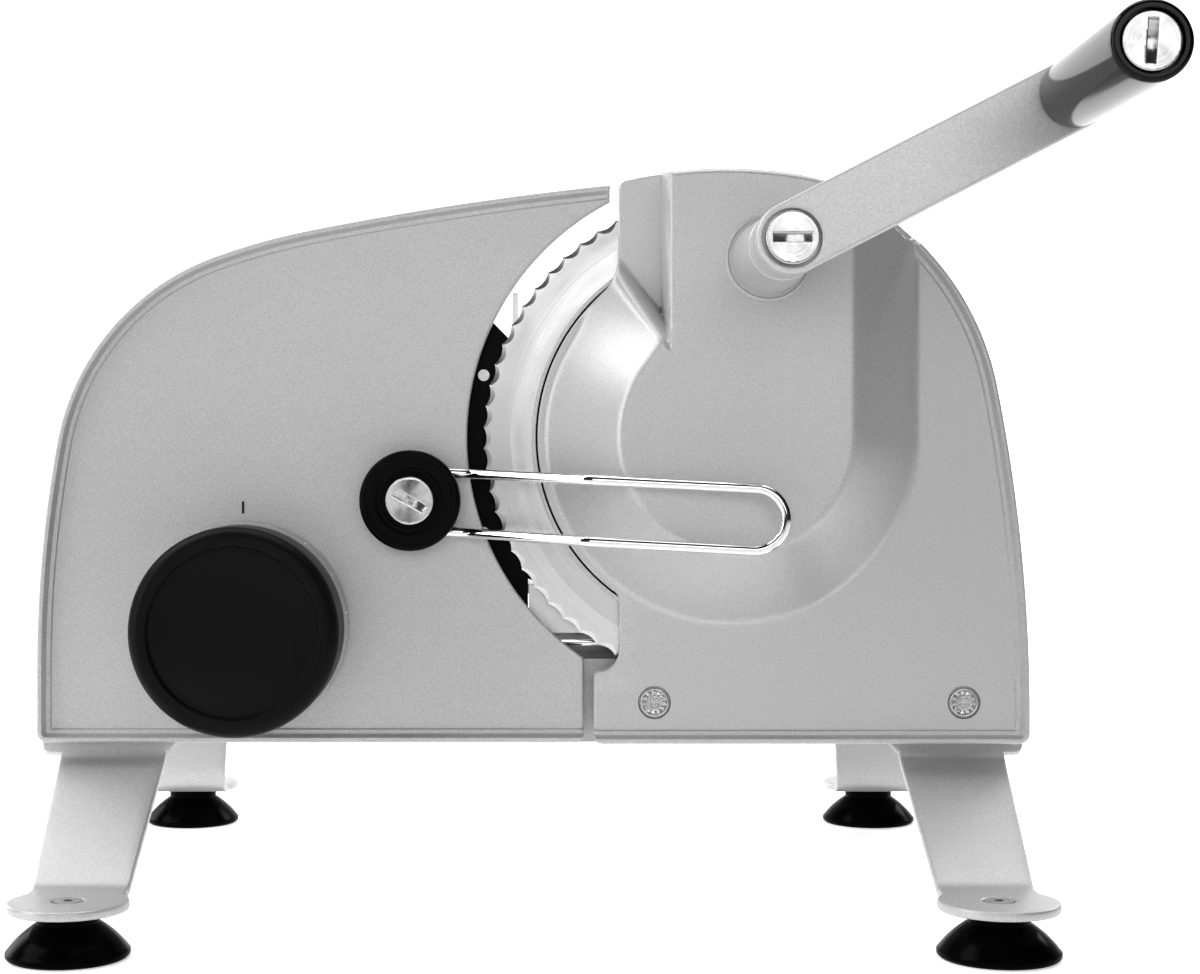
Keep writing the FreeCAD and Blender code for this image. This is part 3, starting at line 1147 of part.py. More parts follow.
wall = new_body("pusher_wall")
inner_x = d.wall_x + d.wall_sheet
wall_front = d.table_front + sheet_gauge + 0.5
wall_low = d.table_top
pad(wall, "YZ_Plane", d.wall_x, inner_x, [[
    (wall_front, wall_low), (d.wall_back, wall_low), (d.wall_back, d.wall_top - 30.0),
    (d.wall_back - 20.0, d.wall_top), (wall_front + 8.0, d.wall_top), (wall_front, d.wall_top - 8.0)]])
pad(wall, "XY_Plane", wall_low, wall_low + d.wall_sheet,
    [box_loop(d.wall_x - 18.0, wall_front + 4.0, d.wall_x + 0.5, d.wall_back - 4.0)])
flange_x = float(d.wall_x) - 9.0
wall_screws = [(flange_x, float(wall_front) + 20.0), (flange_x, 66.0)]
wall_holes = [Ring(x, y, 2.0) for x, y in wall_screws]
pocket(wall, "XY_Plane", wall_low - 1.0, wall_low + d.wall_sheet + 1.0, wall_holes)
pocket(table, "XY_Plane", top_low - 1.0, d.table_top + 1.0, wall_holes)
slot_low, slot_high = 150.0, 162.0
pocket(wall, "YZ_Plane", d.wall_x - 1.0, inner_x + 1.0, [box_loop(-24.0, slot_low, 70.0, slot_high, 5.9)])

guard = new_body("finger_guard")
guard_back = d.table_front + sheet_gauge
guard_right = d.apron_left
guard_left = d.apron_left - d.guard_long
guard_low = Size.of(100.0)
pad(guard, "XZ_Plane", d.table_front, guard_back, [[
    (guard_left + 12.0, guard_low), (guard_right - 0.3, guard_low), (guard_right - 0.3, d.guard_top - 16.0),
    (guard_right - 16.0, d.guard_top), (guard_left + 20.0, d.guard_top), (guard_left, d.guard_top - 30.0),
    (guard_left, guard_low + 30.0)]])
guard_holes = [(float(d.wall_x) - 10.0, 130.0), (float(d.wall_x) - 10.0, 185.0)]
pocket(guard, "XZ_Plane", d.table_front - 1.0, guard_back + 1.0, [Ring(x, z, 2.0) for x, z in guard_holes])
pad(wall, "XZ_Plane", guard_back, guard_back + d.wall_sheet,
    [box_loop(d.wall_x - 18.0, wall_low + 8.0, d.wall_x + 0.5, d.guard_top - 10.0, 0.4)])
pocket(wall, "XZ_Plane", guard_back - 1.0, guard_back + d.wall_sheet + 1.0,
       [Ring(x, z, 2.0) for x, z in guard_holes])

block = new_body("slide_block")
block_low = d.rail_z - 4.5
pad(block, "YZ_Plane", Size.of(10.0), Size.of(50.0), [
    [(d.rail_y - 6.0, block_low + 2.0), (d.rail_y - 4.0, block_low), (d.rail_y + 4.0, block_low),
     (d.rail_y + 6.0, block_low + 2.0), (d.rail_y + 6.0, top_low), (d.rail_y - 6.0, top_low)],
    Ring(d.rail_y, d.rail_z, d.rail_radius + d.fit)])
shoe = new_body("slide_shoe")
shoe_low = d.base_top + d.gap
pad(shoe, "YZ_Plane", Size.of(0.0), Size.of(100.0), [[
    (shoe_front, shoe_low + 1.5), (shoe_front + 1.5, shoe_low), (shoe_back - 1.5, shoe_low),
    (shoe_back, shoe_low + 1.5), (shoe_back, top_low), (shoe_front, top_low)]])
pocket(block, "XY_Plane", top_low - 8.0, top_low + 1.0, [Ring(x, y, pin_hole) for x, y in table_screws[:2]])
pocket(shoe, "XY_Plane", top_low - 8.0, top_low + 1.0, [Ring(x, y, pin_hole) for x, y in table_screws[2:]])
table_screw = master_screw("table_screw", 3.6, 2.0, pin_hole, 9.0, socket=1.5, countersunk=True)
up_heads = [(x, y, d.table_top) for x, y in table_screws]
wall_screw_short = master_screw("wall_screw_short", 3.6, 2.0, 2.0, 6.0, socket=1.5)
short_heads = [(x, y, float(wall_low + d.wall_sheet) + 2.0) for x, y in wall_screws]
guard_screw = facing(wall_screw_short, Vector(0, 1, 0))
guard_heads = [(x, float(guard_back + d.wall_sheet) + 2.0, z) for x, z in guard_holes]
group("carriage_screws", (table_screw, up_heads), (wall_screw_short, short_heads), (guard_screw, guard_heads))

# Remnant holder: a spiked plate that slides along the pusher wall and presses the food to the blade.
holder = new_body("holder_plate")
holder_right = inner_x + 90.0
holder_low = d.table_top + 1.0
pad(holder, "XZ_Plane", d.holder_front, d.holder_front + 3.0,
    [box_loop(inner_x + d.gap, holder_low, holder_right, holder_low + 82.0, 6.0)])
pad(holder, "YZ_Plane", inner_x + d.gap, inner_x + d.gap + 3.0,
    [box_loop(d.holder_front, holder_low, d.holder_front + 46.0, holder_low + 82.0, 0.5)])
stud_y, stud_z = -18.0, 156.0
stud_hole = 3.0
flange_end = inner_x + d.gap + 3.0
pocket(holder, "YZ_Plane", inner_x, flange_end + 1.0, [Ring(stud_y, stud_z, stud_hole)])
spike_left, spike_low = float(inner_x) + 17.0, float(holder_low) + 15.0
spike_places = [(spike_left + 28.0 * column, spike_low + 26.0 * row)
                for column in range(3) for row in range(3)]
spike_foot = 1.8
pocket(holder, "XZ_Plane", d.holder_front - 1.0, d.holder_front + 4.0,
       [Ring(x, z, spike_foot) for x, z in spike_places])
spike = doc.addObject("PartDesign::Body", "holder_spike")
turn(spike, "XY_Plane", [
    (0.0, d.holder_front - 5.0), (0.35, d.holder_front - 5.0), (spike_foot, d.holder_front - 0.6),
    (spike_foot, d.holder_front + 3.0), (0.0, d.holder_front + 3.0)])
group("holder_spikes", (spike, [(x, 0.0, z) for x, z in spike_places]))
slider = new_body("holder_stud")
slot_fit = (slot_high - slot_low) / 2 - d.fit
pad(slider, "YZ_Plane", d.wall_x - 18.0, flange_end, [Ring(stud_y, stud_z, stud_hole)])
pad(slider, "YZ_Plane", d.wall_x - 0.3, inner_x + d.gap, [Ring(stud_y, stud_z, slot_fit)])
grip = new_body("holder_grip")
grip_face = d.wall_x - 0.3
pad(grip, "YZ_Plane", grip_face - 16.0, grip_face, [Ring(stud_y, stud_z, 9.0)])
grip_run = ((16.0, 9.0), (19.0, 13.0), (25.0, 15.0), (31.0, 13.0), (35.0, 9.0))
for (near, wide), (far, narrow) in zip(grip_run, grip_run[1:]):
    loft(grip, "YZ_Plane", [(grip_face - near, Ring(stud_y, stud_z, wide)),
                            (grip_face - far, Ring(stud_y, stud_z, narrow))])
pocket(grip, "YZ_Plane", d.wall_x - 18.0, grip_face + 1.0, [Ring(stud_y, stud_z, stud_hole)])


# Everything is worked out, looked over and written down.
doc.recompute()
for thing in doc.Objects:
    assert not {"Invalid", "Error"} & set(thing.State), f"{thing.Name} has an error"
for cut in cuts:
    assert cut.BaseFeature.Shape.Volume - cut.Shape.Volume > 0.01, f"{cut.Name} takes nothing away"
os.makedirs("parts", exist_ok=True)
for name, piece in pieces.items():
    shape = piece.Shape
    assert not shape.isNull() and shape.isValid(), f"{name} has a bad shape"
    assert piece.Label == name, f"{name} has another label"
    shape.exportStep(f"parts/{name}.step")
print(f"{len(pieces)} pieces")
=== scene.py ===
"""Looks of a hand-cranked food slicer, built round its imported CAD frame.

Sizes are in millimetres, X to the right, Y away from the crank side and Z up, counted from the point on
the table in the middle of the four feet; a shell moves into the row frame when it turns into a mesh.
"""

import json
import logging
import math
from dataclasses import dataclass, field
from enum import Enum
from typing import Callable

import bmesh
import bpy
import numpy as np
from mathutils.geometry import delaunay_2d_cdt
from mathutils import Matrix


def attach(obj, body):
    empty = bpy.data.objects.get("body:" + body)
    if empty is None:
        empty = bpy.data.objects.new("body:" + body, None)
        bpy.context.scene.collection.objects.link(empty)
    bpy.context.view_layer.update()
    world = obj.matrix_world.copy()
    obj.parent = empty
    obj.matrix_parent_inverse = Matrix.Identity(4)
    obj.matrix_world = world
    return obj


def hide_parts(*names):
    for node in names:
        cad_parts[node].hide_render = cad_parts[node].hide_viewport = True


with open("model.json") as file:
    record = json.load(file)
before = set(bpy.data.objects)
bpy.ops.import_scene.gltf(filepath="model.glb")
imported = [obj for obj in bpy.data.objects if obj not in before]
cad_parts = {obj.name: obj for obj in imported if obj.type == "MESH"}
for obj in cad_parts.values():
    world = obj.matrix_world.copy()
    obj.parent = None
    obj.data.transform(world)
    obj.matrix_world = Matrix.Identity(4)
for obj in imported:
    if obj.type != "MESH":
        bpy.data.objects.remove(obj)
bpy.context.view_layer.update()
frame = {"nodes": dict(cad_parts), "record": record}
log = logging.getLogger("slicer")
MM = 0.001
CM = 10.0  # texture coordinates count centimetres
ORIGIN = np.array([-1.57, 43.655, 0.0])  # the middle of the four feet in the row frame
CREASE = 32.0  # edges sharper than this stay sharp, in degrees
Loop = list[tuple[float, ...]]
Arcs = tuple[tuple[float, float], ...]
Socket = bpy.types.NodeSocket
Place = Callable[[np.ndarray, np.ndarray, np.ndarray], np.ndarray]


# Lines in the plane.
def chain(x: float, z: float, heading: float, arcs: Arcs) -> tuple[Loop, tuple[float, float]]:
    """Corners of arcs that run on smoothly: the point moves by radius * (sin b - sin a, cos a - cos b).

    Args:
        x, z: where the run starts.
        heading: its first direction, in degrees.
        arcs: radius and sweep of each arc.
    Returns:
        The start of each arc with its radius, and the end of the run.
    """
    corners = []
    for radius, sweep in arcs:
        corners.append((x, z, radius))
        start, end = math.radians(heading), math.radians(heading + sweep)
        x += radius * (math.sin(end) - math.sin(start))
        z += radius * (math.cos(start) - math.cos(end))
        heading += sweep
    return corners, (x, z)


def bend(start: tuple, end: tuple, radius: float, step: float) -> np.ndarray:
    """Arc between two points: centre = middle + normal * sqrt(r^2 - half^2).

    Args:
        start, end: the arc's ends, which are left out.
        radius: of the arc; above zero its centre lies to the left.
        step: length between points.
    Returns:
        The points between the ends.
    """
    start, end = np.array(start, float), np.array(end, float)
    way = end - start
    half = np.linalg.norm(way) / 2
    left = np.array([-way[1], way[0]]) / (2 * half)
    centre = (start + end) / 2 + left * math.copysign(math.sqrt(max(radius**2 - half**2, 0.0)), radius)
    first = math.atan2(start[1] - centre[1], start[0] - centre[0])
    sweep = math.copysign(2 * math.asin(min(half / abs(radius), 1.0)), radius)
    count = max(int(abs(sweep * radius) / step), 3)
    angles = first + np.linspace(0, sweep, count + 1)[1:-1]
    return centre + abs(radius) * np.stack([np.cos(angles), np.sin(angles)], axis=1)


def outline(loop: Loop, step: float = 1.0, closed: bool = True) -> np.ndarray:
    """Points along a loop of straight lines and arcs.

    Args:
        loop: corners; a third value is the radius of the arc that leaves the corner, concave below zero.
        step: length between points.
        closed: whether the loop returns to its start.
    Returns:
        The points.
    """
    parts = []
    afters = loop[1:] + loop[:1] if closed else loop[1:]
    for here, after in zip(loop, afters):
        start, end = np.array(here[:2], float), np.array(after[:2], float)
        parts.append(start[None])
        if len(here) > 2 and here[2]:
            parts.append(bend(start, end, here[2], step))
        else:
            count = max(int(np.linalg.norm(end - start) / step), 1)
            parts.append(start + np.linspace(0, 1, count + 1)[1:-1, None] * (end - start))
    if not closed:
        parts.append(np.array([loop[-1][:2]], float))
    return np.concatenate(parts)


def fillet(corners: Loop, closed: bool = False, turn_step: float = 0.2) -> np.ndarray:
    """Polyline with rounded corners: arc centre = corner + bisector * r / cos(turn / 2).

    Args:
        corners: points; a third value is the radius of the corner.
        closed: whether the line returns to its start.
        turn_step: angle between the points of an arc, in radians.
    Returns:
        The points.
    """
    least_turn = 0.02
    points = []
    count = len(corners)
    for number, corner in enumerate(corners):
        here = np.array(corner[:2], float)
        inner = closed or 0 < number < count - 1
        if len(corner) < 3 or not corner[2] or not inner:
            points.append(here[None])
            continue
        arrive = here - np.array(corners[number - 1][:2], float)
        leave = np.array(corners[(number + 1) % count][:2], float) - here
        arrive, leave = arrive / np.linalg.norm(arrive), leave / np.linalg.norm(leave)
        turn = math.acos(float(np.clip(arrive @ leave, -1, 1)))
        if turn < least_turn:
            points.append(here[None])
            continue
        radius = corner[2]
        inward = (leave - arrive) / np.linalg.norm(leave - arrive)
        centre = here + inward * radius / math.cos(turn / 2)
        shares = np.linspace(-0.5, 0.5, max(int(turn / turn_step), 2) + 1)[:, None] * turn
        along = (arrive + leave) / np.linalg.norm(arrive + leave)
        points.append(centre + radius * (np.sin(shares) * along - np.cos(shares) * inward))
    return np.concatenate(points)


def ring(x: float, z: float, radius: float, step: float = 0.8) -> np.ndarray:
    """Circle of points (x + r cos t, z + r sin t).

    Args:
        x, z: its centre.
        radius: of the circle.
        step: length between points.
    Returns:
        The points, anticlockwise.
    """
    count = max(int(2 * math.pi * radius / step), 24)
    angles = np.arange(count) * 2 * math.pi / count
    return np.stack([x + radius * np.cos(angles), z + radius * np.sin(angles)], axis=1)


def offset(line: np.ndarray, amount: float, closed: bool = True) -> np.ndarray:
    """The line moved to its left: p + n * amount, n square to the chord between the neighbours.

    Args:
        line: the points.
        amount: how far to move.
        closed: whether the line returns to its start.
    Returns:
        The moved points.
    """
    if closed:
        way = np.roll(line, -1, 0) - np.roll(line, 1, 0)
    else:
        way = np.gradient(line, axis=0)
    way = way / np.maximum(np.linalg.norm(way, axis=1, keepdims=True), 1e-9)
    return line + amount * np.stack([-way[:, 1], way[:, 0]], axis=1)


def distance(points: np.ndarray, line: np.ndarray, closed: bool = True) -> np.ndarray:
    """Least distance of each point to the segments of a polyline: |p - a - clip(t) (b - a)|.

    Args:
        points: where to measure.
        line: the polyline.
        closed: whether the line returns to its start.
    Returns:
        One distance for each point.
    """
    starts = line if closed else line[:-1]
    ends = np.roll(line, -1, 0) if closed else line[1:]
    way = ends - starts
    long2 = np.maximum((way**2).sum(1), 1e-12)
    best = np.empty(len(points))
    block = 1500
    for low in range(0, len(points), block):
        gap = points[low:low + block, None] - starts
        share = np.clip((gap * way).sum(2) / long2, 0, 1)
        best[low:low + block] = np.sqrt(((gap - share[..., None] * way) ** 2).sum(2).min(1))
    return best


def runs(line: np.ndarray) -> np.ndarray:
    """Length along a polyline at each of its points, from 0."""
    return np.concatenate([[0], np.cumsum(np.linalg.norm(np.diff(line, axis=0), axis=1))])


def inside(points: np.ndarray, line: np.ndarray) -> np.ndarray:
    """Even-odd test: a point is inside where an odd number of sides cross the line to its right.

    Args:
        points: what to test.
        line: the closed line.
    Returns:
        One truth value for each point.
    """
    x, z = points[:, :1], points[:, 1:]
    ax, az = line.T
    bx, bz = np.roll(line, -1, 0).T
    rise = np.where(bz == az, 1e-12, bz - az)
    odd = np.zeros(len(points), bool)
    block = 3000
    for low in range(0, len(points), block):
        px, pz = x[low:low + block], z[low:low + block]
        crosses = ((az > pz) != (bz > pz)) & (px < (bx - ax) * (pz - az) / rise + ax)
        odd[low:low + block] = crosses.sum(1) % 2 == 1
    return odd


# Heights.
def ease(value: np.ndarray, low: float, high: float) -> np.ndarray:
    """Smooth step: 3 t^2 - 2 t^3 from low to high."""
    share = np.clip((value - low) / (high - low), 0, 1)
    return share * share * (3 - 2 * share)


def drop(away: np.ndarray, radius: float) -> np.ndarray:
    """How far a rounded edge lies below its flat, away from the edge: r - sqrt(r^2 - (r - away)^2)."""
    near = np.clip(radius - away, 0, radius)
    return radius - np.sqrt(radius**2 - near**2)


def lesser(a: np.ndarray, b: np.ndarray, soft: float) -> np.ndarray:
    """Smooth minimum of two heights: min(a, b) - soft/4 at their meeting, unchanged where |a - b| > soft."""
    share = np.clip(0.5 + 0.5 * (b - a) / soft, 0, 1)
    return b + (a - b) * share - soft * share * (1 - share)


def greater(a: np.ndarray, b: np.ndarray, soft: float) -> np.ndarray:
    """Smooth maximum of two heights, the mirror of the smooth minimum."""
    return -lesser(-a, -b, soft)


def scarp(away: np.ndarray, top: float, wide: float, crown: float) -> np.ndarray:
    """Height of a steep wall whose upper edge lies at away = 0, rounded by crown; it runs on below zero.

    Args:
        away: distance inside the upper edge.
        top: height of the ground behind the edge.
        wide: how far the wall leans out.
        crown: radius of the upper edge.
    Returns:
        The height over each point.
    """
    lean = (top - crown) * (1 + away / wide)
    return np.where(away >= 0, top - drop(away, crown), lean)


@dataclass(frozen=True)
class Brim:
    """A pressed rim over a plate: a high lip outside, and a low step inside its steep flank."""

    lip: float
    step: float = 0.8
    lip_wide: float = 1.7
    flank_wide: float = 1.1
    step_end: tuple[float, float] = (4.2, 4.6)
    creases: tuple[float, ...] = (1.55, 1.7, 1.85, 2.25, 2.65, 2.8, 2.95, 4.05, 4.2, 4.3, 4.4, 4.5, 4.6, 4.8)

    def height(self, rim: np.ndarray) -> np.ndarray:
        """Height by the distance to the rim's edge: the step's share times step, plus the flank's share."""
        flank = 1 - np.clip((rim - self.lip_wide) / self.flank_wide, 0, 1)
        return self.step * (1 - ease(rim, *self.step_end)) + (self.lip - self.step) * flank


# Shells.
def across(x: float = 0.0, z: float = 0.0) -> Place:
    """Places a drawing upright: (x + u, depth, z + v)."""
    return lambda u, v, depth: np.stack([x + u, depth, z + v], axis=1)


def level(x: float = 0.0, y: float = 0.0) -> Place:
    """Places a drawing lying: (x + u, y + v, depth)."""
    return lambda u, v, depth: np.stack([x + u, y + v, depth], axis=1)


def lengthwise(y: float, z: float) -> Place:
    """Places a drawing square to the rail: (depth, y + u, z + v)."""
    return lambda u, v, depth: np.stack([depth, y + u, z + v], axis=1)


@dataclass
class Shell:
    """A closed surface: points, triangles, quads, and one texture coordinate for each point."""

    points: np.ndarray
    triangles: np.ndarray
    quads: np.ndarray
    uv: np.ndarray

    def outward(self) -> "Shell":
        """Turns the faces outwards: the signed volume, the sum of a . (b x c) / 6, has to be positive.

        Returns:
            The shell itself.
        """
        halves = [self.triangles, self.quads[:, [0, 1, 2]], self.quads[:, [0, 2, 3]]]
        corners = self.points[np.concatenate(halves)] - self.points.mean(0)
        if (corners[:, 0] * np.cross(corners[:, 1], corners[:, 2])).sum() < 0:
            self.triangles = self.triangles[:, ::-1]
            self.quads = self.quads[:, ::-1]
        return self

    def __add__(self, other: "Shell") -> "Shell":
        """Joins two shells.

        Args:
            other: the shell whose points and faces come after this one's.
        Returns:
            Both as one.
        """
        shift = len(self.points)
        return Shell(np.concatenate([self.points, other.points]),
                     np.concatenate([self.triangles, other.triangles + shift]),
                     np.concatenate([self.quads, other.quads + shift]),
                     np.concatenate([self.uv, other.uv]))

    def piece(self, name: str, body: str, dress: "Dress", *nodes: str,
              crease: float = CREASE) -> bpy.types.Object:
        """Makes the shell a dressed piece of the object.

        Args:
            name: the piece's name.
            body: the body that it rides on.
            dress: its slot and finish.
            nodes: CAD nodes that it stands for.
            crease: edges sharper than this, in degrees, stay sharp.
        Returns:
            The object.
        """
        mesh = bpy.data.meshes.new(name)
        loops = np.concatenate([self.triangles.ravel(), self.quads.ravel()]).astype(np.int32)
        sizes = np.repeat([3, 4], [len(self.triangles), len(self.quads)])
        mesh.vertices.add(len(self.points))
        mesh.vertices.foreach_set("co", ((self.points + ORIGIN) * MM).astype(np.float32).ravel())
        mesh.loops.add(len(loops))
        mesh.loops.foreach_set("vertex_index", loops)
        mesh.polygons.add(len(sizes))
        mesh.polygons.foreach_set("loop_start", (np.cumsum(sizes) - sizes).astype(np.int32))
        mesh.update(calc_edges=True)
        layer = mesh.uv_layers.new(name="UVMap")
        layer.data.foreach_set("uv", self.uv[loops].astype(np.float32).ravel())
        mesh.validate()
        merged = bmesh.new()
        merged.from_mesh(mesh)
        bmesh.ops.remove_doubles(merged, verts=merged.verts, dist=2e-6)
        bmesh.ops.dissolve_degenerate(merged, edges=merged.edges, dist=1e-7)
        merged.to_mesh(mesh)
        merged.free()
        return settle(mesh, name, body, dress, nodes, crease)


def settle(mesh: bpy.types.Mesh, name: str, body: str, dress: "Dress", nodes: tuple,
           crease: float = CREASE) -> bpy.types.Object:
    """Puts a mesh into the scene: smooth but for its creases, dressed, riding on its body.

    Args:
        mesh: in metres, in the row frame.
        name, body, dress, nodes, crease: as for Shell.piece.
    Returns:
        The object.
    """
    mesh.shade_smooth()
    mesh.set_sharp_from_angle(angle=math.radians(crease))
    mesh.materials.clear()
    mesh.materials.append(dress.finish.material())
    thing = bpy.data.objects.new(name, mesh)
    bpy.context.scene.collection.objects.link(thing)
    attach(thing, body)
    if nodes:
        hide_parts(*nodes)
    log.info("%s: %d faces on %s", name, len(mesh.polygons), body)
    return thing


def lathe(profile: np.ndarray, place: Place, count: int = 96, loop: bool = True) -> Shell:
    """A profile (r, h) carried round an axis: (r cos t, r sin t, h).

    Args:
        profile: radius and height of each point.
        place: where the axis stands.
        count: steps round the axis.
        loop: whether the profile closes on itself; otherwise it ends on the axis.
    Returns:
        The closed shell, with u round the axis and v along the profile.
    """
    if loop:
        profile = np.concatenate([profile, profile[:1]])
    angles = np.linspace(0, 2 * math.pi, count + 1)
    radius, height = profile[:, :1], profile[:, 1:]
    u, v = radius * np.cos(angles), radius * np.sin(angles)
    depth = np.broadcast_to(height, u.shape)
    uv = np.stack(np.broadcast_arrays(angles / (2 * math.pi), runs(profile)[:, None] / CM), axis=2)
    return grid(place(u.ravel(), v.ravel(), depth.ravel()), len(profile), count + 1, uv.reshape(-1, 2))


def grid(points: np.ndarray, rows: int, columns: int, uv: np.ndarray) -> Shell:
    """Quads between neighbouring rows and columns of points.

    Args:
        points: the grid's points, row by row.
        rows, columns: their numbers.
        uv: texture coordinates of the points.
    Returns:
        The shell, turned outwards.
    """
    index = np.arange(rows * columns).reshape(rows, columns)
    quads = np.stack([index[:-1, :-1], index[1:, :-1], index[1:, 1:], index[:-1, 1:]], axis=2).reshape(-1, 4)
    return Shell(points, np.zeros((0, 3), int), quads, uv).outward()


@dataclass
class Slab:
    """A plate between two faces over one outline.

    A face is a function of points (n, 2) and of their distance to the edge (n,), which gives the depth.
    The plane is cut into triangles between the outline, its inset rings, the crease lines and a lattice
    that is fine only where the front face bends.
    """

    edge: np.ndarray
    holes: list[np.ndarray] = field(default_factory=list)
    pitch: float = 1.0
    coarse: int = 8
    insets: tuple[float, ...] = (0.1, 0.25, 0.45, 0.8)
    lines: list[np.ndarray] = field(default_factory=list)
    line_gap: float = 0.06
    bend_limit: float = 0.004

    def spread(self, front: Callable) -> tuple[np.ndarray, list[np.ndarray]]:
        """Spreads the points of the plate in its plane.

        Args:
            front: depth of the front face, which says where the lattice is fine.
        Returns:
            The points, the rims' first, and the rims.
        """
        rims = [self.edge] + [hole[::-1] for hole in self.holes]
        seeds = [(offset(rim, inset), inset * 0.97) for rim in rims for inset in self.insets]
        seeds += [(line, self.line_gap) for line in self.lines]
        low, high = self.edge.min(0), self.edge.max(0)
        across_u = np.arange(low[0] + self.pitch / 2, high[0], self.pitch)
        across_v = np.arange(low[1] + self.pitch / 2, high[1], self.pitch)
        lattice = np.stack(np.meshgrid(across_u, across_v, indexing="ij"), axis=2)
        sites = lattice.reshape(-1, 2)
        away = np.min([distance(sites, rim) for rim in rims], axis=0)
        depth = front(sites, away).reshape(lattice.shape[:2])
        bent = np.zeros_like(depth)
        bent[1:-1] += abs(depth[2:] + depth[:-2] - 2 * depth[1:-1])
        bent[:, 1:-1] += abs(depth[:, 2:] + depth[:, :-2] - 2 * depth[:, 1:-1])
        fine = bent > self.bend_limit * self.pitch**2
        for axis in (0, 1):
            fine = fine | np.roll(fine, 1, axis) | np.roll(fine, -1, axis)
        rows, columns = np.indices(depth.shape)
        rare = (rows % self.coarse == 0) & (columns % self.coarse == 0)
        keep = (fine | rare).ravel() & (away > max(self.insets) + 0.4 * self.pitch)
        if self.lines:
            cell = self.pitch * 0.6
            taken = np.round(np.concatenate(self.lines) / cell).astype(int)
            taken = {tuple(spot) for spot in taken.tolist()}
            spots = np.round(sites / cell).astype(int).tolist()
            keep &= np.array([tuple(spot) not in taken for spot in spots])
        seeds.append((sites[keep], 0.0))
        kept = list(rims)
        for points, least in seeds:
            gap = np.min([distance(points, rim) for rim in rims], axis=0)
            within = inside(points, self.edge)
            for hole in self.holes:
                within &= ~inside(points, hole)
            kept.append(points[within & (gap >= least)])
        return np.concatenate(kept), rims

    def shell(self, front: Callable, back: Callable, place: Place, polar: bool = False) -> Shell:
        """The closed plate.

        Args:
            front, back: depth of the two faces.
            place: where the drawing stands.
            polar: texture coordinates round the middle of the outline in place of plain ones.
        Returns:
            The shell.
        """
        points, rims = self.spread(front)
        edges = []
        start = 0
        for rim in rims:
            index = start + np.arange(len(rim))
            edges += np.stack([index, np.roll(index, -1)], axis=1).tolist()
            start += len(rim)
        found = delaunay_2d_cdt(points.tolist(), edges, [], 0, 1e-6, False)
        points = np.array([tuple(point) for point in found[0]])
        triangles = np.array([face for face in found[2] if len(face) == 3])
        middle = points[triangles].mean(1)
        within = inside(middle, self.edge)
        for hole in self.holes:
            within &= ~inside(middle, hole)
        triangles = triangles[within]
        away = np.min([distance(points, rim) for rim in rims], axis=0)
        count = len(points)
        sides = np.concatenate([triangles[:, [0, 1]], triangles[:, [1, 2]], triangles[:, [2, 0]]])
        code, reverse = sides @ [count, 1], sides @ [1, count]
        rim_sides = sides[~np.isin(code, reverse)]
        first, second = rim_sides.T
        walls = np.stack([second, first, first + count, second + count], axis=1)
        near = place(points[:, 0], points[:, 1], front(points, away))
        far = place(points[:, 0], points[:, 1], back(points, away))
        uv = points / CM
        if polar:
            hub = points - (self.edge.min(0) + self.edge.max(0)) / 2
            turn = np.arctan2(hub[:, 1], hub[:, 0]) / (2 * math.pi)
            uv = np.stack([turn, np.linalg.norm(hub, axis=1) / CM], axis=1)
        return Shell(np.concatenate([near, far]), np.concatenate([triangles, triangles[:, ::-1] + count]),
                     walls, np.concatenate([uv, uv])).outward()


def flat(depth: float, rounding: float = 0.0, way: float = 1.0) -> Callable:
    """A flat face with a rounded edge, which falls back along way: depth + way * drop.

    Args:
        depth: of the flat.
        rounding: radius of the edge.
        way: 1.0 for a face that looks to the front, -1.0 for one that looks back.
    Returns:
        The face as a function of points and of their distance to the edge.
    """
    if not rounding:
        return lambda points, away: np.full(len(points), float(depth))
    return lambda points, away: depth + way * drop(away, rounding)


def eased(node: str, name: str, body: str, dress: "Dress", width: float = 0.4) -> bpy.types.Object:
    """A copy of a CAD node with its doubles merged, its flats joined and its edges rounded.

    Args:
        node: the CAD node, which the copy replaces.
        name, body, dress: as for Shell.piece.
        width: of the rounded edges.
    Returns:
        The object.
    """
    mesh = frame["nodes"][node].data.copy()
    merged = bmesh.new()
    merged.from_mesh(mesh)
    bmesh.ops.remove_doubles(merged, verts=merged.verts, dist=1e-6)
    bmesh.ops.dissolve_limit(merged, angle_limit=math.radians(0.5), verts=merged.verts, edges=merged.edges)
    merged.to_mesh(mesh)
    merged.free()
    thing = settle(mesh, name, body, dress, (node,))
    rounder = thing.modifiers.new("edges", "BEVEL")
    rounder.width = width * MM
    rounder.segments = 2
    rounder.limit_method = "ANGLE"
    rounder.angle_limit = math.radians(40)
    rounder.use_clamp_overlap = True
    rounder.harden_normals = True
    return thing


# Finishes.
class Slot(Enum):
    """The material slots of the record."""

    SILVER = "silver_paint"
    DIAL = "dial_paint"
    RUBBER = "cup_rubber"
    BLADE = "blade_steel"
    SCREW = "screw_steel"
    TURNED = "turned_steel"
    CRANK = "crank_metal"
    BRASS = "bush_brass"
    RAIL = "rail_chrome"
    WIRE = "wire_chrome"
    KNOB = "knob_plastic"
    BLACK = "black_plastic"
    GRIP = "grip_plastic"


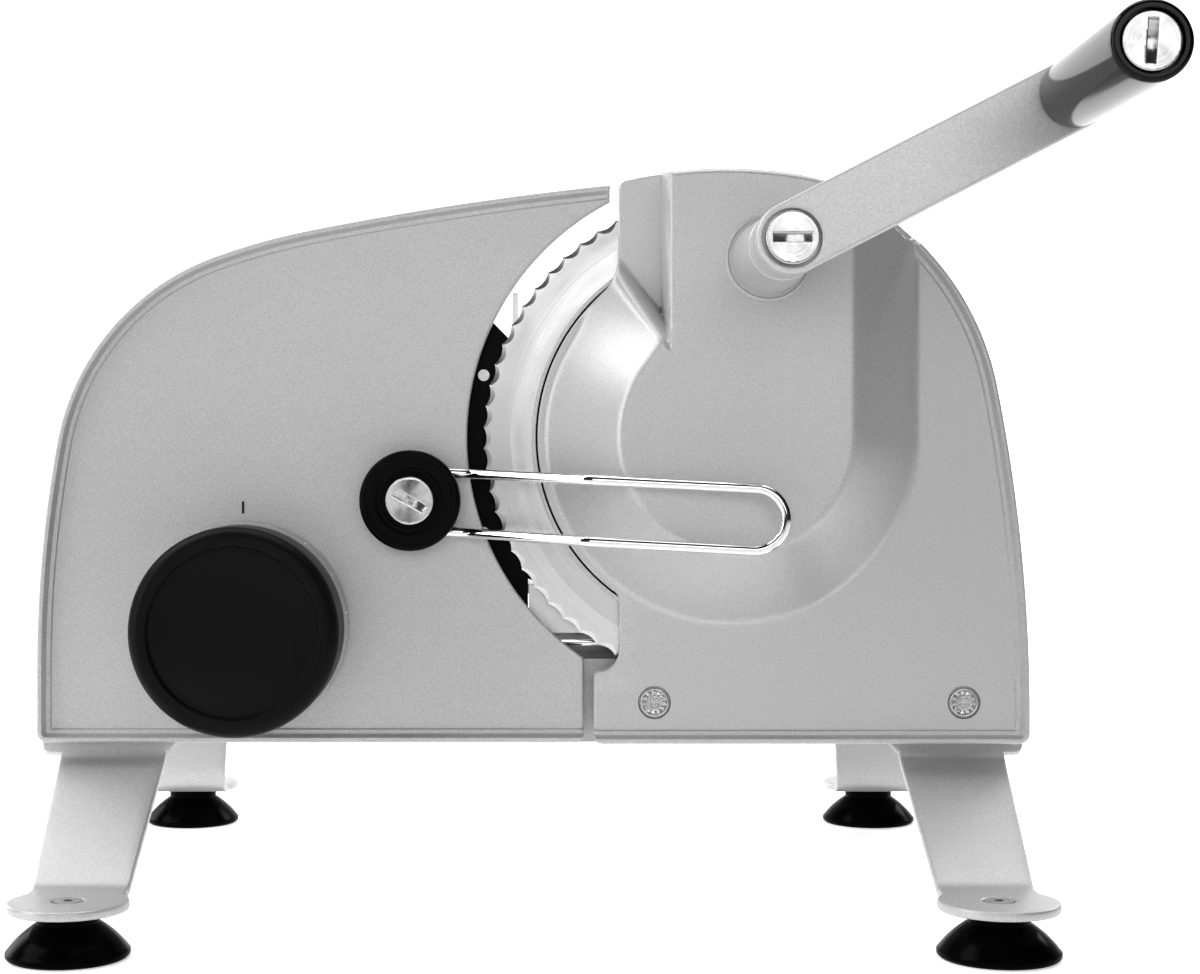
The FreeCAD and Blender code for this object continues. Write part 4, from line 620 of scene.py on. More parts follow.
class Bench:
    """The node tree of one material, with short calls."""

    def __init__(self, name: str) -> None:
        """Starts a material with its shader.

        Args:
            name: the material's.
        """
        self.material = bpy.data.materials.new(name)
        self.material.use_nodes = True
        self.tree = self.material.node_tree
        self.shader = self.tree.nodes["Principled BSDF"]
        self.coords = self.tree.nodes.new("ShaderNodeTexCoord")

    def add(self, kind: str, inputs: dict, **settings: object) -> bpy.types.Node:
        """A new node; an input that is a socket is linked, any other is set.

        Args:
            kind: its type.
            inputs: values or sockets by the inputs' names.
            settings: the node's own settings.
        Returns:
            The node.
        """
        node = self.tree.nodes.new(kind)
        for key, value in settings.items():
            setattr(node, key, value)
        for key, value in inputs.items():
            if isinstance(value, Socket):
                self.tree.links.new(value, node.inputs[key])
            else:
                node.inputs[key].default_value = value
        return node

    def noise(self, scale: float, detail: float = 2.0, vector: Socket = None) -> Socket:
        """Noise over the object, or over another vector."""
        inputs = {"Vector": vector or self.coords.outputs["Object"], "Scale": scale, "Detail": detail}
        return self.add("ShaderNodeTexNoise", inputs).outputs["Fac"]

    def stretched(self, kind: str, *scale: float) -> Socket:
        """Texture coordinates of a kind, multiplied by a scale along each axis."""
        inputs = {"Vector": self.coords.outputs[kind], "Scale": scale}
        return self.add("ShaderNodeMapping", inputs).outputs["Vector"]

    def span(self, value: Socket, start: float, end: float, low: float, high: float) -> Socket:
        """Maps start..end to low..high."""
        inputs = {"Value": value, "From Min": start, "From Max": end, "To Min": low, "To Max": high}
        return self.add("ShaderNodeMapRange", inputs).outputs["Result"]

    def widen(self, noise: Socket, low: float = 0.0, high: float = 1.0) -> Socket:
        """Maps the range that a noise mostly keeps to, 0.3..0.7, to low..high."""
        return self.span(noise, 0.3, 0.7, low, high)

    def sum(self, operation: str, *values: object) -> Socket:
        """A Math node over sockets and numbers."""
        return self.add("ShaderNodeMath", dict(enumerate(values)), operation=operation).outputs["Value"]

    def tint(self, share: Socket, low: tuple, high: tuple) -> Socket:
        """A colour between two; inputs 6 and 7 and output 2 are the Mix node's colours.

        Args:
            share: 0 for the first colour, 1 for the second.
            low, high: the colours.
        Returns:
            The mixed colour.
        """
        mix = self.add("ShaderNodeMix", {}, data_type="RGBA")
        self.tree.links.new(share, mix.inputs[0])
        mix.inputs[6].default_value = (*low, 1.0)
        mix.inputs[7].default_value = (*high, 1.0)
        return mix.outputs[2]

    def bump(self, height: Socket, deep: float, strength: float) -> Socket:
        """A bump of a depth in millimetres."""
        inputs = {"Height": height, "Distance": deep * MM, "Strength": strength}
        return self.add("ShaderNodeBump", inputs).outputs["Normal"]

    def set(self, **sockets: object) -> None:
        """Sets or links sockets of the shader.

        Args:
            sockets: values or sockets by the inputs' names, with underscores for spaces.
        """
        for key, value in sockets.items():
            socket = self.shader.inputs[key.replace("_", " ")]
            if isinstance(value, Socket):
                self.tree.links.new(value, socket)
            else:
                socket.default_value = value


@dataclass(frozen=True)
class Finish:
    """A finish makes its material once, and gives it to every piece that wears it.

    No finish is called like a slot, because the frame brings plain materials of those names.
    """

    name: str

    def material(self) -> bpy.types.Material:
        """Finds or makes the material.

        Returns:
            The material of this finish.
        """
        known = bpy.data.materials.get(self.name)
        if known:
            return known
        bench = Bench(self.name)
        self.work(bench)
        return bench.material

    def work(self, bench: Bench) -> None:
        """Lays the finish on the bench of a new material; each kind of finish has its own way."""
        raise NotImplementedError


@dataclass(frozen=True)
class MetallicPaint(Finish):
    """Satin metallic paint: fine flakes in tint and bump over slow changes of gloss."""

    tone: float = 0.52
    flake: float = 0.09
    roughness: float = 0.42
    metallic: float = 0.45
    grain_scale: float = 2300.0
    grain_deep: float = 0.02

    def work(self, bench: Bench) -> None:
        """Lays the paint: fine noise for the flakes, slow noise for the gloss.

        Args:
            bench: where the material is made.
        """
        flakes = bench.widen(bench.noise(self.grain_scale, 3.0))
        dark, light = self.tone - self.flake, self.tone + self.flake
        bench.set(Base_Color=bench.tint(flakes, (dark, dark, dark * 1.01), (light, light, light * 1.005)),
                  Metallic=self.metallic,
                  Roughness=bench.widen(bench.noise(14.0), self.roughness - 0.03, self.roughness + 0.03),
                  Normal=bench.bump(bench.noise(1500.0, 2.0), self.grain_deep, 0.5))


@dataclass(frozen=True)
class GroundSteel(Finish):
    """Steel ground or turned round an axis: streaks along u of the piece's texture coordinates."""

    tone: float = 0.62
    contrast: float = 0.1
    roughness: float = 0.27
    anisotropy: float = 0.6
    streaks: float = 60.0
    sectors: float = 6.0
    deep: float = 0.01

    def work(self, bench: Bench) -> None:
        """Lays the streaks: noise stretched round the axis, and slow noise between sectors.

        Args:
            bench: where the material is made.
        """
        lines = bench.noise(1.0, 6.0, bench.stretched("UV", self.sectors, self.streaks, 1.0))
        patches = bench.noise(1.0, 2.0, bench.stretched("UV", self.sectors * 2.5, 1.2, 1.0))
        dark, light = self.tone - self.contrast, self.tone + self.contrast
        bench.set(Base_Color=bench.tint(bench.widen(lines), (dark,) * 3, (light,) * 3),
                  Metallic=1.0,
                  Roughness=bench.widen(patches, self.roughness - 0.06, self.roughness + 0.08),
                  Anisotropic=self.anisotropy,
                  Tangent=bench.add("ShaderNodeTangent", {}, direction_type="UV_MAP").outputs["Tangent"],
                  Normal=bench.bump(lines, self.deep, 0.6))


@dataclass(frozen=True)
class MilledMetal(Finish):
    """Bare metal without texture coordinates: fine scratches and slow gloss over the object."""

    color: tuple[float, float, float] = (0.6, 0.6, 0.6)
    roughness: float = 0.28
    scale: float = 900.0

    def work(self, bench: Bench) -> None:
        """Lays the scratches: noise stretched along one way of the object.

        Args:
            bench: where the material is made.
        """
        lines = bench.noise(self.scale, 4.0, bench.stretched("Object", 1.0, 0.12, 1.0))
        darker = tuple(part * 0.8 for part in self.color)
        bench.set(Base_Color=bench.tint(bench.widen(lines), darker, self.color),
                  Metallic=1.0,
                  Roughness=bench.widen(bench.noise(60.0), self.roughness - 0.05, self.roughness + 0.08),
                  Normal=bench.bump(lines, 0.006, 0.5))


@dataclass(frozen=True)
class Chrome(Finish):
    """Polished chrome with a trace of waviness."""

    tone: float = 0.86
    roughness: float = 0.05

    def work(self, bench: Bench) -> None:
        """Lays the chrome: slow noise for the gloss and for the waves.

        Args:
            bench: where the material is made.
        """
        bench.set(Base_Color=(self.tone, self.tone, self.tone, 1.0),
                  Metallic=1.0,
                  Roughness=bench.widen(bench.noise(90.0), self.roughness, self.roughness + 0.05),
                  Normal=bench.bump(bench.noise(260.0), 0.01, 0.3))


@dataclass(frozen=True)
class Plastic(Finish):
    """Moulded plastic or rubber: a spark-eroded texture, or a smooth gloss with a slight orange peel."""

    tone: float = 0.006
    roughness: float = 0.5
    grain_scale: float = 1500.0
    grain_deep: float = 0.05
    specular: float = 0.25
    ior: float = 1.45

    def work(self, bench: Bench) -> None:
        """Lays the texture: fine noise for the grain over slow noise for the gloss.

        Args:
            bench: where the material is made.
        """
        grain = bench.noise(self.grain_scale, 3.0)
        light = self.tone * 1.35
        bench.set(Base_Color=bench.tint(bench.widen(grain), (self.tone,) * 3, (light, light, light * 1.02)),
                  Roughness=bench.widen(bench.noise(45.0), self.roughness * 0.93, self.roughness * 1.07),
                  Specular_IOR_Level=self.specular,
                  IOR=self.ior,
                  Normal=bench.bump(grain, self.grain_deep, 0.6))


@dataclass(frozen=True)
class Dress:
    """A record slot with the finish that it wears."""

    slot: Slot
    finish: Finish


SILVER = Dress(Slot.SILVER, MetallicPaint("satin_silver"))
ARM = Dress(Slot.CRANK, MetallicPaint("crank_silver", tone=0.6, roughness=0.36))
DIAL = Dress(Slot.DIAL, MetallicPaint("dial_grey", tone=0.42, roughness=0.5, metallic=0.3))
TICK = Dress(Slot.DIAL, Plastic("tick_white", tone=0.7, grain_deep=0.0))
MARK = Dress(Slot.SILVER, Plastic("mark_black", tone=0.01, grain_deep=0.0))
BLADE = Dress(Slot.BLADE, GroundSteel("ground_blade"))
SPUN = Dress(Slot.SCREW, GroundSteel("spun_steel", roughness=0.2, anisotropy=0.8, streaks=40.0, sectors=3.0))
SCREW = Dress(Slot.SCREW, MilledMetal("bright_screw", color=(0.66, 0.66, 0.66), roughness=0.22))
TURNED = Dress(Slot.TURNED, MilledMetal("lathed_steel", color=(0.5, 0.5, 0.5)))
BRASS = Dress(Slot.BRASS, MilledMetal("turned_brass", color=(0.72, 0.52, 0.24), roughness=0.25))
RAIL = Dress(Slot.RAIL, Chrome("plated_rail"))
WIRE = Dress(Slot.WIRE, Chrome("plated_wire"))
# A lighter copy of the silver paint: its extra brightness is painted light on parts that sit in shade behind
# the fence.
LIT_SILVER = Dress(Slot.SILVER, MetallicPaint("silver_painted_light", tone=0.86, flake=0.04, roughness=0.36))
KNOB = Dress(Slot.KNOB, Plastic("textured_black", tone=0.003, roughness=0.4, specular=0.09))
BLACK = Dress(Slot.BLACK, Plastic("satin_black", tone=0.0015, roughness=0.3, grain_deep=0.02, specular=0.06))
GRIP = Dress(Slot.GRIP, Plastic("gloss_black", tone=0.002, roughness=0.12, grain_scale=300.0,
                                grain_deep=0.006))
RUBBER = Dress(Slot.RUBBER, Plastic("moulded_rubber", tone=0.0008, roughness=0.2, grain_scale=400.0,
                                    grain_deep=0.01, specular=0.1, ior=1.15))
BY_SLOT = {dress.slot.value: dress for dress in
           (SILVER, ARM, DIAL, BLADE, SCREW, TURNED, BRASS, RAIL, WIRE, KNOB, BLACK, GRIP, RUBBER)}


# The stand: base housing, bent legs, suction cups and the slide rail.
@dataclass
class Stand:
    """Everything that stands still under the plates."""

    reach: float = 145.5
    deep: float = 127.5
    cup_high: float = 14.6
    gauge: float = 3.0
    foot_radius: float = 19.0
    tab: float = 25.0
    tab_top: float = 83.0
    knee: float = 54.0
    wide_top: float = 18.3
    wide_foot: float = 15.5
    base_front: float = -49.0
    base_back: float = 105.0
    bend_radius: float = 5.0
    sheet_edge: float = 0.8
    cup_neck: float = 9.8
    cup_rim: float = 19.4
    rod: float = 4.0
    rod_half: float = 163.0

    def cup(self, name: str, x: float, y: float) -> None:
        """Makes a bell of rubber with a thin rolled rim and a neck under the foot plate.

        Args:
            name: the CAD node that it stands for.
            x, y: where it stands.
        """
        neck, rim, top = self.cup_neck, self.cup_rim, self.cup_high
        flank = bend((neck, 11.0), (rim - 0.4, 2.6), -34.0, 1.0)
        profile = np.concatenate([
            fillet([(2.6, top), (neck - 0.2, top), (neck, top - 0.3), (neck, 11.0)]), flank,
            fillet([(rim - 0.4, 2.6), (rim, 2.2, 0.4), (rim, 0.9, 0.6), (rim - 0.9, 0.0, 0.4),
                    (rim - 2.4, 0.0, 0.4), (9.0, 6.0, 3.0), (2.6, 8.0)])])
        lathe(profile, level(x, y), 72).piece(f"{name}_bell", "stand", RUBBER, name)

    def bent(self, path: list[tuple[float, float]], middle: float) -> Place:
        """Bends a flat drawing (across, run, depth) along a path in the Y Z plane.

        Args:
            path: corners (y, z) of the face that the drawing's depth 0 lies on; depth grows to its left.
            middle: x of the drawing's middle line.
        Returns:
            The place function. At a corner the run follows an arc of the bend radius, so that
            point = arc centre + (radius - depth) * (cos, sin), and elsewhere a straight line.
        """
        corners = np.array(path, float)
        stations = runs(corners)
        bends = [(*corner, self.bend_radius + self.gauge) for corner in path[1:-1]]
        rounded = fillet([path[0], *bends, path[-1]], turn_step=0.12)
        lengths = runs(rounded)
        sharp = np.array([self.station(point, corners, stations) for point in rounded])
        reach = 0.25

        def place(u: np.ndarray, v: np.ndarray, depth: np.ndarray) -> np.ndarray:
            """Point of the rounded path at run v, plus depth times the path's left normal there.

            Args:
                u: along X.
                v: run along the path with sharp corners.
                depth: to the left of the path.
            Returns:
                One point for each.
            """
            run = np.interp(v, sharp, lengths)
            y = np.interp(run, lengths, rounded[:, 0])
            z = np.interp(run, lengths, rounded[:, 1])
            ahead, behind = np.minimum(run + reach, lengths[-1]), np.maximum(run - reach, 0)
            way_y = np.interp(ahead, lengths, rounded[:, 0]) - np.interp(behind, lengths, rounded[:, 0])
            way_z = np.interp(ahead, lengths, rounded[:, 1]) - np.interp(behind, lengths, rounded[:, 1])
            size = np.hypot(way_y, way_z)
            return np.stack([middle + u, y - way_z / size * depth, z + way_y / size * depth], axis=1)

        return place

    @staticmethod
    def station(point: np.ndarray, corners: np.ndarray, stations: np.ndarray) -> float:
        """Where a point near a path projects onto it.

        Args:
            point: the point.
            corners: of the path.
            stations: length along the path at each corner.
        Returns:
            The length along the path.
        """
        best = (math.inf, 0.0)
        for start, end, first in zip(corners, corners[1:], stations):
            way = end - start
            long = np.linalg.norm(way)
            share = float(np.clip((point - start) @ way / long**2, 0, 1))
            gap = float(np.linalg.norm(point - start - share * way))
            best = min(best, (gap, first + share * long))
        return best[1]

    def leg(self, name: str, side: int, end: int) -> None:
        """Makes a leg cut from sheet and bent: tab, tapering leg and round foot plate.

        Args:
            name: the CAD node that it stands for.
            side: -1 for the left, 1 for the right.
            end: -1 for the front, 1 for the rear.
        """
        gauge, foot_top = self.gauge, self.cup_high + self.gauge
        outside = self.base_front - gauge if end < 0 else self.base_back + gauge
        middle_y = self.deep * end
        if end < 0:
            path = [(outside, self.tab_top), (outside, self.knee), (middle_y + self.foot_radius, foot_top),
                    (middle_y - self.foot_radius, foot_top)]
        else:
            path = [(outside, self.tab_top), (outside, foot_top), (middle_y + self.foot_radius, foot_top)]
        stations = runs(np.array(path))
        knee = self.tab_top - self.knee
        plate = stations[-1] - self.foot_radius
        wide_foot = self.wide_foot + (0.9 if end > 0 else 0.0)
        rise = math.sqrt(self.foot_radius**2 - wide_foot**2)
        flare = self.tab - self.wide_top
        neck = stations[-2]
        inner = [(self.tab, knee - flare + 0.5), (self.wide_top, knee + 0.5), (wide_foot, neck),
                 (wide_foot, plate - rise, self.foot_radius)]
        outer = [(-wide_foot, plate - rise), (-wide_foot, neck), (-self.wide_top, knee + 1.0),
                 (4.0 - self.tab, knee + 1.0, 4.0), (-self.tab, knee - 3.0)]
        edge = [(-self.tab + 3.0, 0.0), (self.tab - 3.0, 0.0, 3.0), (self.tab, 3.0)] + inner
        edge += [(0.0, plate + self.foot_radius, self.foot_radius)] + outer + [(-self.tab, 3.0, 3.0)]
        line = outline(edge, 1.0)
        if side > 0:
            line = line[::-1] * np.array([-1.0, 1.0])
        screw = ring(0.0, plate, 4.9, 0.6)
        rows = [corner + shift for corner in stations[1:-1] for shift in np.linspace(-6.5, 6.5, 12)]
        wide = np.arange(-self.tab, self.tab, 2.5)
        lines = [np.stack([wide, np.full_like(wide, row)], axis=1) for row in rows]
        slab = Slab(line, holes=[screw], pitch=3.0, coarse=3, insets=(0.08, 0.22, 0.45, 0.8), lines=lines)
        way = 1.0 if end < 0 else -1.0
        shell = slab.shell(flat(0.0, self.sheet_edge, way), flat(gauge * way, self.sheet_edge, -way),
                           self.bent(path, self.reach * side))
        shell.piece(f"{name}_sheet", "stand", SILVER, name)

    def build(self) -> None:
        """Makes the stand."""
        for end_name, end in (("front", -1), ("rear", 1)):
            for side_name, side in (("left", -1), ("right", 1)):
                self.cup(f"suction_cup_{end_name}_{side_name}", self.reach * side, self.deep * end)
                self.leg(f"leg_{end_name}_{side_name}", side, end)
        eased("base_housing", "base_tray", "stand", SILVER, 0.9)
        for side in ("left", "right"):
            eased(f"rail_bracket_{side}", f"rail_holder_{side}", "stand", BLACK, 0.5)
        end, radius = self.rod_half, self.rod
        rod = fillet([(0.0, -end), (radius - 0.5, -end), (radius, 0.5 - end), (radius, end - 0.5),
                      (radius - 0.5, end), (0.0, end)])
        lathe(rod, lengthwise(-38.0, 91.0), 64, loop=False).piece("rail_rod", "stand", RAIL, "slide_rail")


# The cast plates: gear cover and fence.
@dataclass
class GearCover:
    """The cast housing: a plate with a rim, the cone over the blade and the tower over the crank gear."""

    face: float = -61.0
    back: float = -58.0
    x: float = 68.0
    z: float = 163.0
    foot: float = 64.1
    brow: float = 39.0
    high: float = 26.5
    guard: float = 66.3
    guard_ends: tuple[float, float] = (130.3, 232.2)
    left: float = 29.7
    tab: float = 21.0
    tab_top: float = 83.2
    right: float = 170.3
    low: float = 58.1
    side_low: float = 67.2
    corner: float = 3.5
    top: float = 253.0
    tower_left: float = 45.2
    tower_low: float = 200.0
    wall_lean: float = 1.0
    wall_crown: float = 1.8
    roof_lean: float = 3.2
    roof_wider: float = 2.2
    roof_crown: float = 2.0
    brow_round: float = 1.6
    root: float = 1.4
    facet: float = 9.0
    facet_foot: float = 205.0
    facet_rise: float = 1.238
    facet_scale: float = 1.591
    swell: float = 8.0
    swell_low: float = 22.0
    hip_x: float = 35.1
    hip_z: float = 76.3
    hip: float = 0.2
    seat: float = 5.3
    seat_deep: float = 1.6
    boss_x: float = 78.0
    boss_z: float = 222.2
    pitch: float = 0.9
    brim: Brim = Brim(3.0)
    screws: Arcs = ((41.9, 72.0), (148.2, 72.0))
    side_arcs: Arcs = ((580.0, 11.3), (95.5, 45.0), (76.0, 24.5), (152.0, 22.0))
    rim_arcs: Arcs = ((580.0, 11.3), (95.5, 33.0))
    wall_creases: tuple[float, ...] = (-2.9, -2.2, -1.6, -1.1, -0.7, -0.35, 0.0, 0.25, 0.6, 1.0, 1.8)
    roof_creases: tuple[float, ...] = (1.2, 1.6, 2.0, 2.4, 2.8, 3.2, 3.5, 4.0, 4.6, 5.2)
    seat_creases: tuple[float, ...] = (5.2, 5.35, 5.5, 5.7)
    facet_creases: tuple[float, ...] = (-1.2, -0.5, 0.0, 0.5, 1.1)
    roof: np.ndarray = field(init=False)
    rim: np.ndarray = field(init=False)

    def __post_init__(self) -> None:
        """Works out the open lines that the roof and the rim are measured from."""
        side, end = chain(self.right, self.side_low, 90.0, self.side_arcs)
        roof = outline([*side, end, (20.0, self.top)], 1.0, False)
        self.roof = roof[roof[:, 1] > self.z - 20.0]
        side, end = chain(self.right, self.side_low, 90.0, self.rim_arcs)
        self.rim = outline([(10.0, self.low), (self.right - self.corner, self.low, self.corner),
                            (self.right, self.low + self.corner), *side, end], self.pitch, False)

    def loop(self) -> Loop:
        """The outline, seen from the crank side, anticlockwise.

        Returns:
            Its corners.
        """
        side, (end_x, end_z) = chain(self.right, self.side_low, 90.0, self.side_arcs)
        upper, lower = [(self.x + self.guard * math.cos(turn), self.z + self.guard * math.sin(turn))
                        for turn in map(math.radians, self.guard_ends)]
        left, tab, top, low, corner = self.left, self.tab, self.tab_top, self.low, self.corner
        return [(tab + 2.5, low), (self.right - corner, low, corner), (self.right, low + corner), *side,
                (max(end_x, left + 2.6), end_z, 3.0), (left, end_z - 2.8), (left, self.z + 63.5, -20.0),
                (*upper, self.guard), (*lower, -4.0), (left, self.z - 56.5), (left, top + 6.0, -6.5),
                (left - 5.5, top), (tab + 2.5, top, 2.5), (tab, top - 2.5), (tab, low + 2.5, 2.5)]

    def height(self, points: np.ndarray) -> np.ndarray:
        """Height over the plate.

        The case is the greater of a cone, (foot - r) * high / (foot - brow), which runs out towards a
        slanting line, and of the tower, whose sides are the cone's slope carried upwards, a steep roof and a
        steep left wall; both end in a flat face, and the whole grows out of the plate with a hollow fillet.

        Args:
            points: where to measure, (x, z).
        Returns:
            One height for each point.
        """
        x, z = points[:, 0] - self.x, points[:, 1] - self.z
        slope = (self.high + 0.5) / (self.foot - self.brow)
        edge = points[:, 0] - self.tower_left
        nowhere = -99.0
        beside = np.where(edge < 0, edge, nowhere) - 3.0 * np.maximum(self.swell_low - z, 0)
        cone = self.high + slope * greater(self.brow - np.hypot(x, z), beside, self.swell)
        case = self.high + slope * (self.brow - np.hypot(x, np.minimum(z, 0)))
        flat_face = np.full_like(cone, self.high)
        cone, case = lesser(cone, flat_face, self.brow_round), lesser(case, flat_face, self.brow_round)
        slant = self.slant(points)
        share = np.sin(np.clip(slant / self.facet, 0, 1) * math.pi / 2)
        cone = np.minimum(cone, np.maximum(cone, 0) * share + 2.0 * np.minimum(slant, 0))
        wall = scarp(edge, self.high, self.wall_lean, self.wall_crown)
        lean = self.roof_lean + self.roof_wider * ease(points[:, 0], 100.0, 125.0)
        roof = scarp(distance(points, self.roof, False) - lean, self.high, self.roof_lean, self.roof_crown)
        tower = np.minimum(np.minimum(case, wall), np.where(z > 0, roof, self.high))
        whole = np.maximum(cone, tower)
        return greater(whole, np.zeros_like(whole), self.root)

    def slant(self, points: np.ndarray) -> np.ndarray:
        """Distance from the facet's foot line, above zero towards the cone: (z0 + k (x0 - x) - z) / scale."""
        foot = self.facet_foot + self.facet_rise * (self.tower_left - points[:, 0])
        return (foot - points[:, 1]) / self.facet_scale

    def front(self, points: np.ndarray, away: np.ndarray) -> np.ndarray:
        """Depth of the front: the plate with rim, hips and screw seats, the case over it, rounded edges.

        Args:
            points: where to measure, (x, z).
            away: their distance to the outline.
        Returns:
            One depth for each point.
        """
        plate = self.brim.height(distance(points, self.rim, False))
        x, z = points[:, 0], points[:, 1]
        for seat_x, seat_z in self.screws:
            gap = np.hypot(x - seat_x, z - seat_z)
            plate = plate - self.seat_deep * (1 - ease(gap, self.seat, 5.65))
        hip = np.maximum((x - self.hip_x) * self.hip, (self.hip_z - z) * self.hip)
        plate = plate + np.minimum(hip, 0.0) * (1 - ease(z, self.z - 60.0, self.z - 53.0))
        height = self.height(points)
        least = 0.02
        whole = np.where(height > least, np.maximum(height, plate), plate)
        return np.minimum(self.face - whole + drop(away, 0.8), self.back - 0.3)

    def creases(self) -> list[np.ndarray]:
        """The lines where the front bends.

        Returns:
            One polyline for each.
        """
        lines = [offset(self.rim, shift, False) for shift in self.brim.creases]
        run = np.arange(self.tower_low, self.top, self.pitch)
        lines += [np.stack([np.full_like(run, self.tower_left + shift), run], axis=1)
                  for shift in self.wall_creases]
        lines += [offset(self.roof, shift, False) for shift in self.roof_creases]
        lines += [ring(x, z, radius, 0.7) for x, z in self.screws for radius in self.seat_creases]
        foot = np.arange(29.0, 46.0, 0.7)
        line = self.facet_foot + self.facet_rise * (self.tower_left - foot)
        return lines + [np.stack([foot, line - self.facet_scale * shift], axis=1)
                        for shift in self.facet_creases]

    def build(self) -> None:
        """Makes the cover with its boss and lip, and a thin black ring of painted shade round its edge over
        the blade.
        """
        slab = Slab(outline(self.loop(), 0.9), pitch=self.pitch, lines=self.creases())
        boss = fillet([(14.5, -87.3), (14.2, -88.2, 0.3), (13.5, -88.4, 0.3), (13.2, -87.9, 0.3),
                       (12.5, -87.9, 0.3), (12.2, -88.9, 0.4), (10.9, -127.1, 0.4), (10.5, -127.5),
                       (7.0, -127.5), (7.0, -84.0), (14.5, -84.0)])
        lip = fillet([(67.0, -59.5), (68.1, -59.5, 0.5), (68.3, -58.1), (67.0, -58.1)])
        shell = slab.shell(self.front, flat(self.back), across())
        shell = shell + lathe(boss, across(self.boss_x, self.boss_z), 96)
        shell = shell + lathe(lip, across(self.x, self.z), 240)
        shell.piece("gear_cover_casting", "stand", SILVER, "gear_cover")
        # Painted shade: a black ring stands in for the shadow in the gap between the cover's edge and the
        # blade.
        gap = fillet([(65.8, -58.9), (67.1, -58.9), (67.1, -58.2), (65.8, -58.2)])
        lathe(gap, across(self.x, self.z), 240).piece("cover_painted_shade", "stand", BLACK)


@dataclass
class Fence:
    """The stop plate with its raised rim, the throat round the blade and the thickness mark."""

    back: float = -54.0
    face: float = -56.6
    low: float = 58.1
    right: float = 17.7
    corner: float = 3.5
    tip_x: float = 26.7
    tip_z: float = 250.0
    tip_heading: float = 185.85
    throat: float = 91.8
    throat_x: float = 69.2
    throat_z: float = 163.0
    brim: Brim = Brim(3.4)
    arcs: Arcs = ((1100.0, 5.5), (220.0, 8.75), (84.0, 59.7), (438.0, 10.2))
    spindle: tuple[float, float, float] = (-99.0, 98.3, 13.45)
    stud: tuple[float, float, float] = (-41.9, 141.5, 5.0)
    mark_x: float = -100.0
    mark_half: float = 0.45
    mark_ends: tuple[float, float] = (136.9, 141.1)
    rim: np.ndarray = field(init=False)

    def __post_init__(self) -> None:
        """Works out the open line that the rim is measured from."""
        self.rim = outline([(60.0, self.tip_z + 3.4), *self.side(), (60.0, self.low)], 0.9, False)

    def side(self) -> Loop:
        """The corners from the tip down the left side to the lower left corner."""
        side, (left, left_z) = chain(self.tip_x, self.tip_z, self.tip_heading, self.arcs)
        return [*side, (left, left_z), (left, self.low + self.corner, self.corner),
                (left + self.corner, self.low)]

    def front(self, points: np.ndarray, away: np.ndarray) -> np.ndarray:
        """Depth of the front: lip, step and field by the distance to the rim, edges rounded."""
        return self.face - self.brim.height(distance(points, self.rim, False)) + drop(away, 0.8)

    def build(self) -> None:
        """Makes the plate and the mark."""
        upper = self.throat_z + math.sqrt(self.throat**2 - (self.tip_x - self.throat_x) ** 2)
        lower = self.throat_z - math.sqrt(self.throat**2 - (self.right - self.throat_x) ** 2)
        side = self.side()
        loop = [side[-1], (self.right - 3.0, self.low, 3.0), (self.right, self.low + 3.0),
                (self.right, lower, -self.throat), (self.throat_x - self.throat, self.throat_z, -self.throat),
                (self.tip_x, upper), (self.tip_x, self.tip_z - 0.6), *side[:-1]]
        lines = [offset(self.rim, shift, False) for shift in self.brim.creases]
        slab = Slab(outline(loop, 0.9), holes=[ring(*self.spindle), ring(*self.stud)], pitch=1.0, lines=lines)
        shell = slab.shell(self.front, flat(self.back, 0.5, -1.0), across())
        shell.piece("fence_casting", "fence", SILVER, "fence_plate")
        left, right = self.mark_x - self.mark_half, self.mark_x + self.mark_half
        low, high = self.mark_ends
        mark = Slab(outline([(left, low), (right, low), (right, high), (left, high)], 0.3), insets=(0.05,))
        shell = mark.shell(flat(self.face - 0.06), flat(self.face + 0.2), across())
        shell.piece("thickness_mark", "fence", MARK)


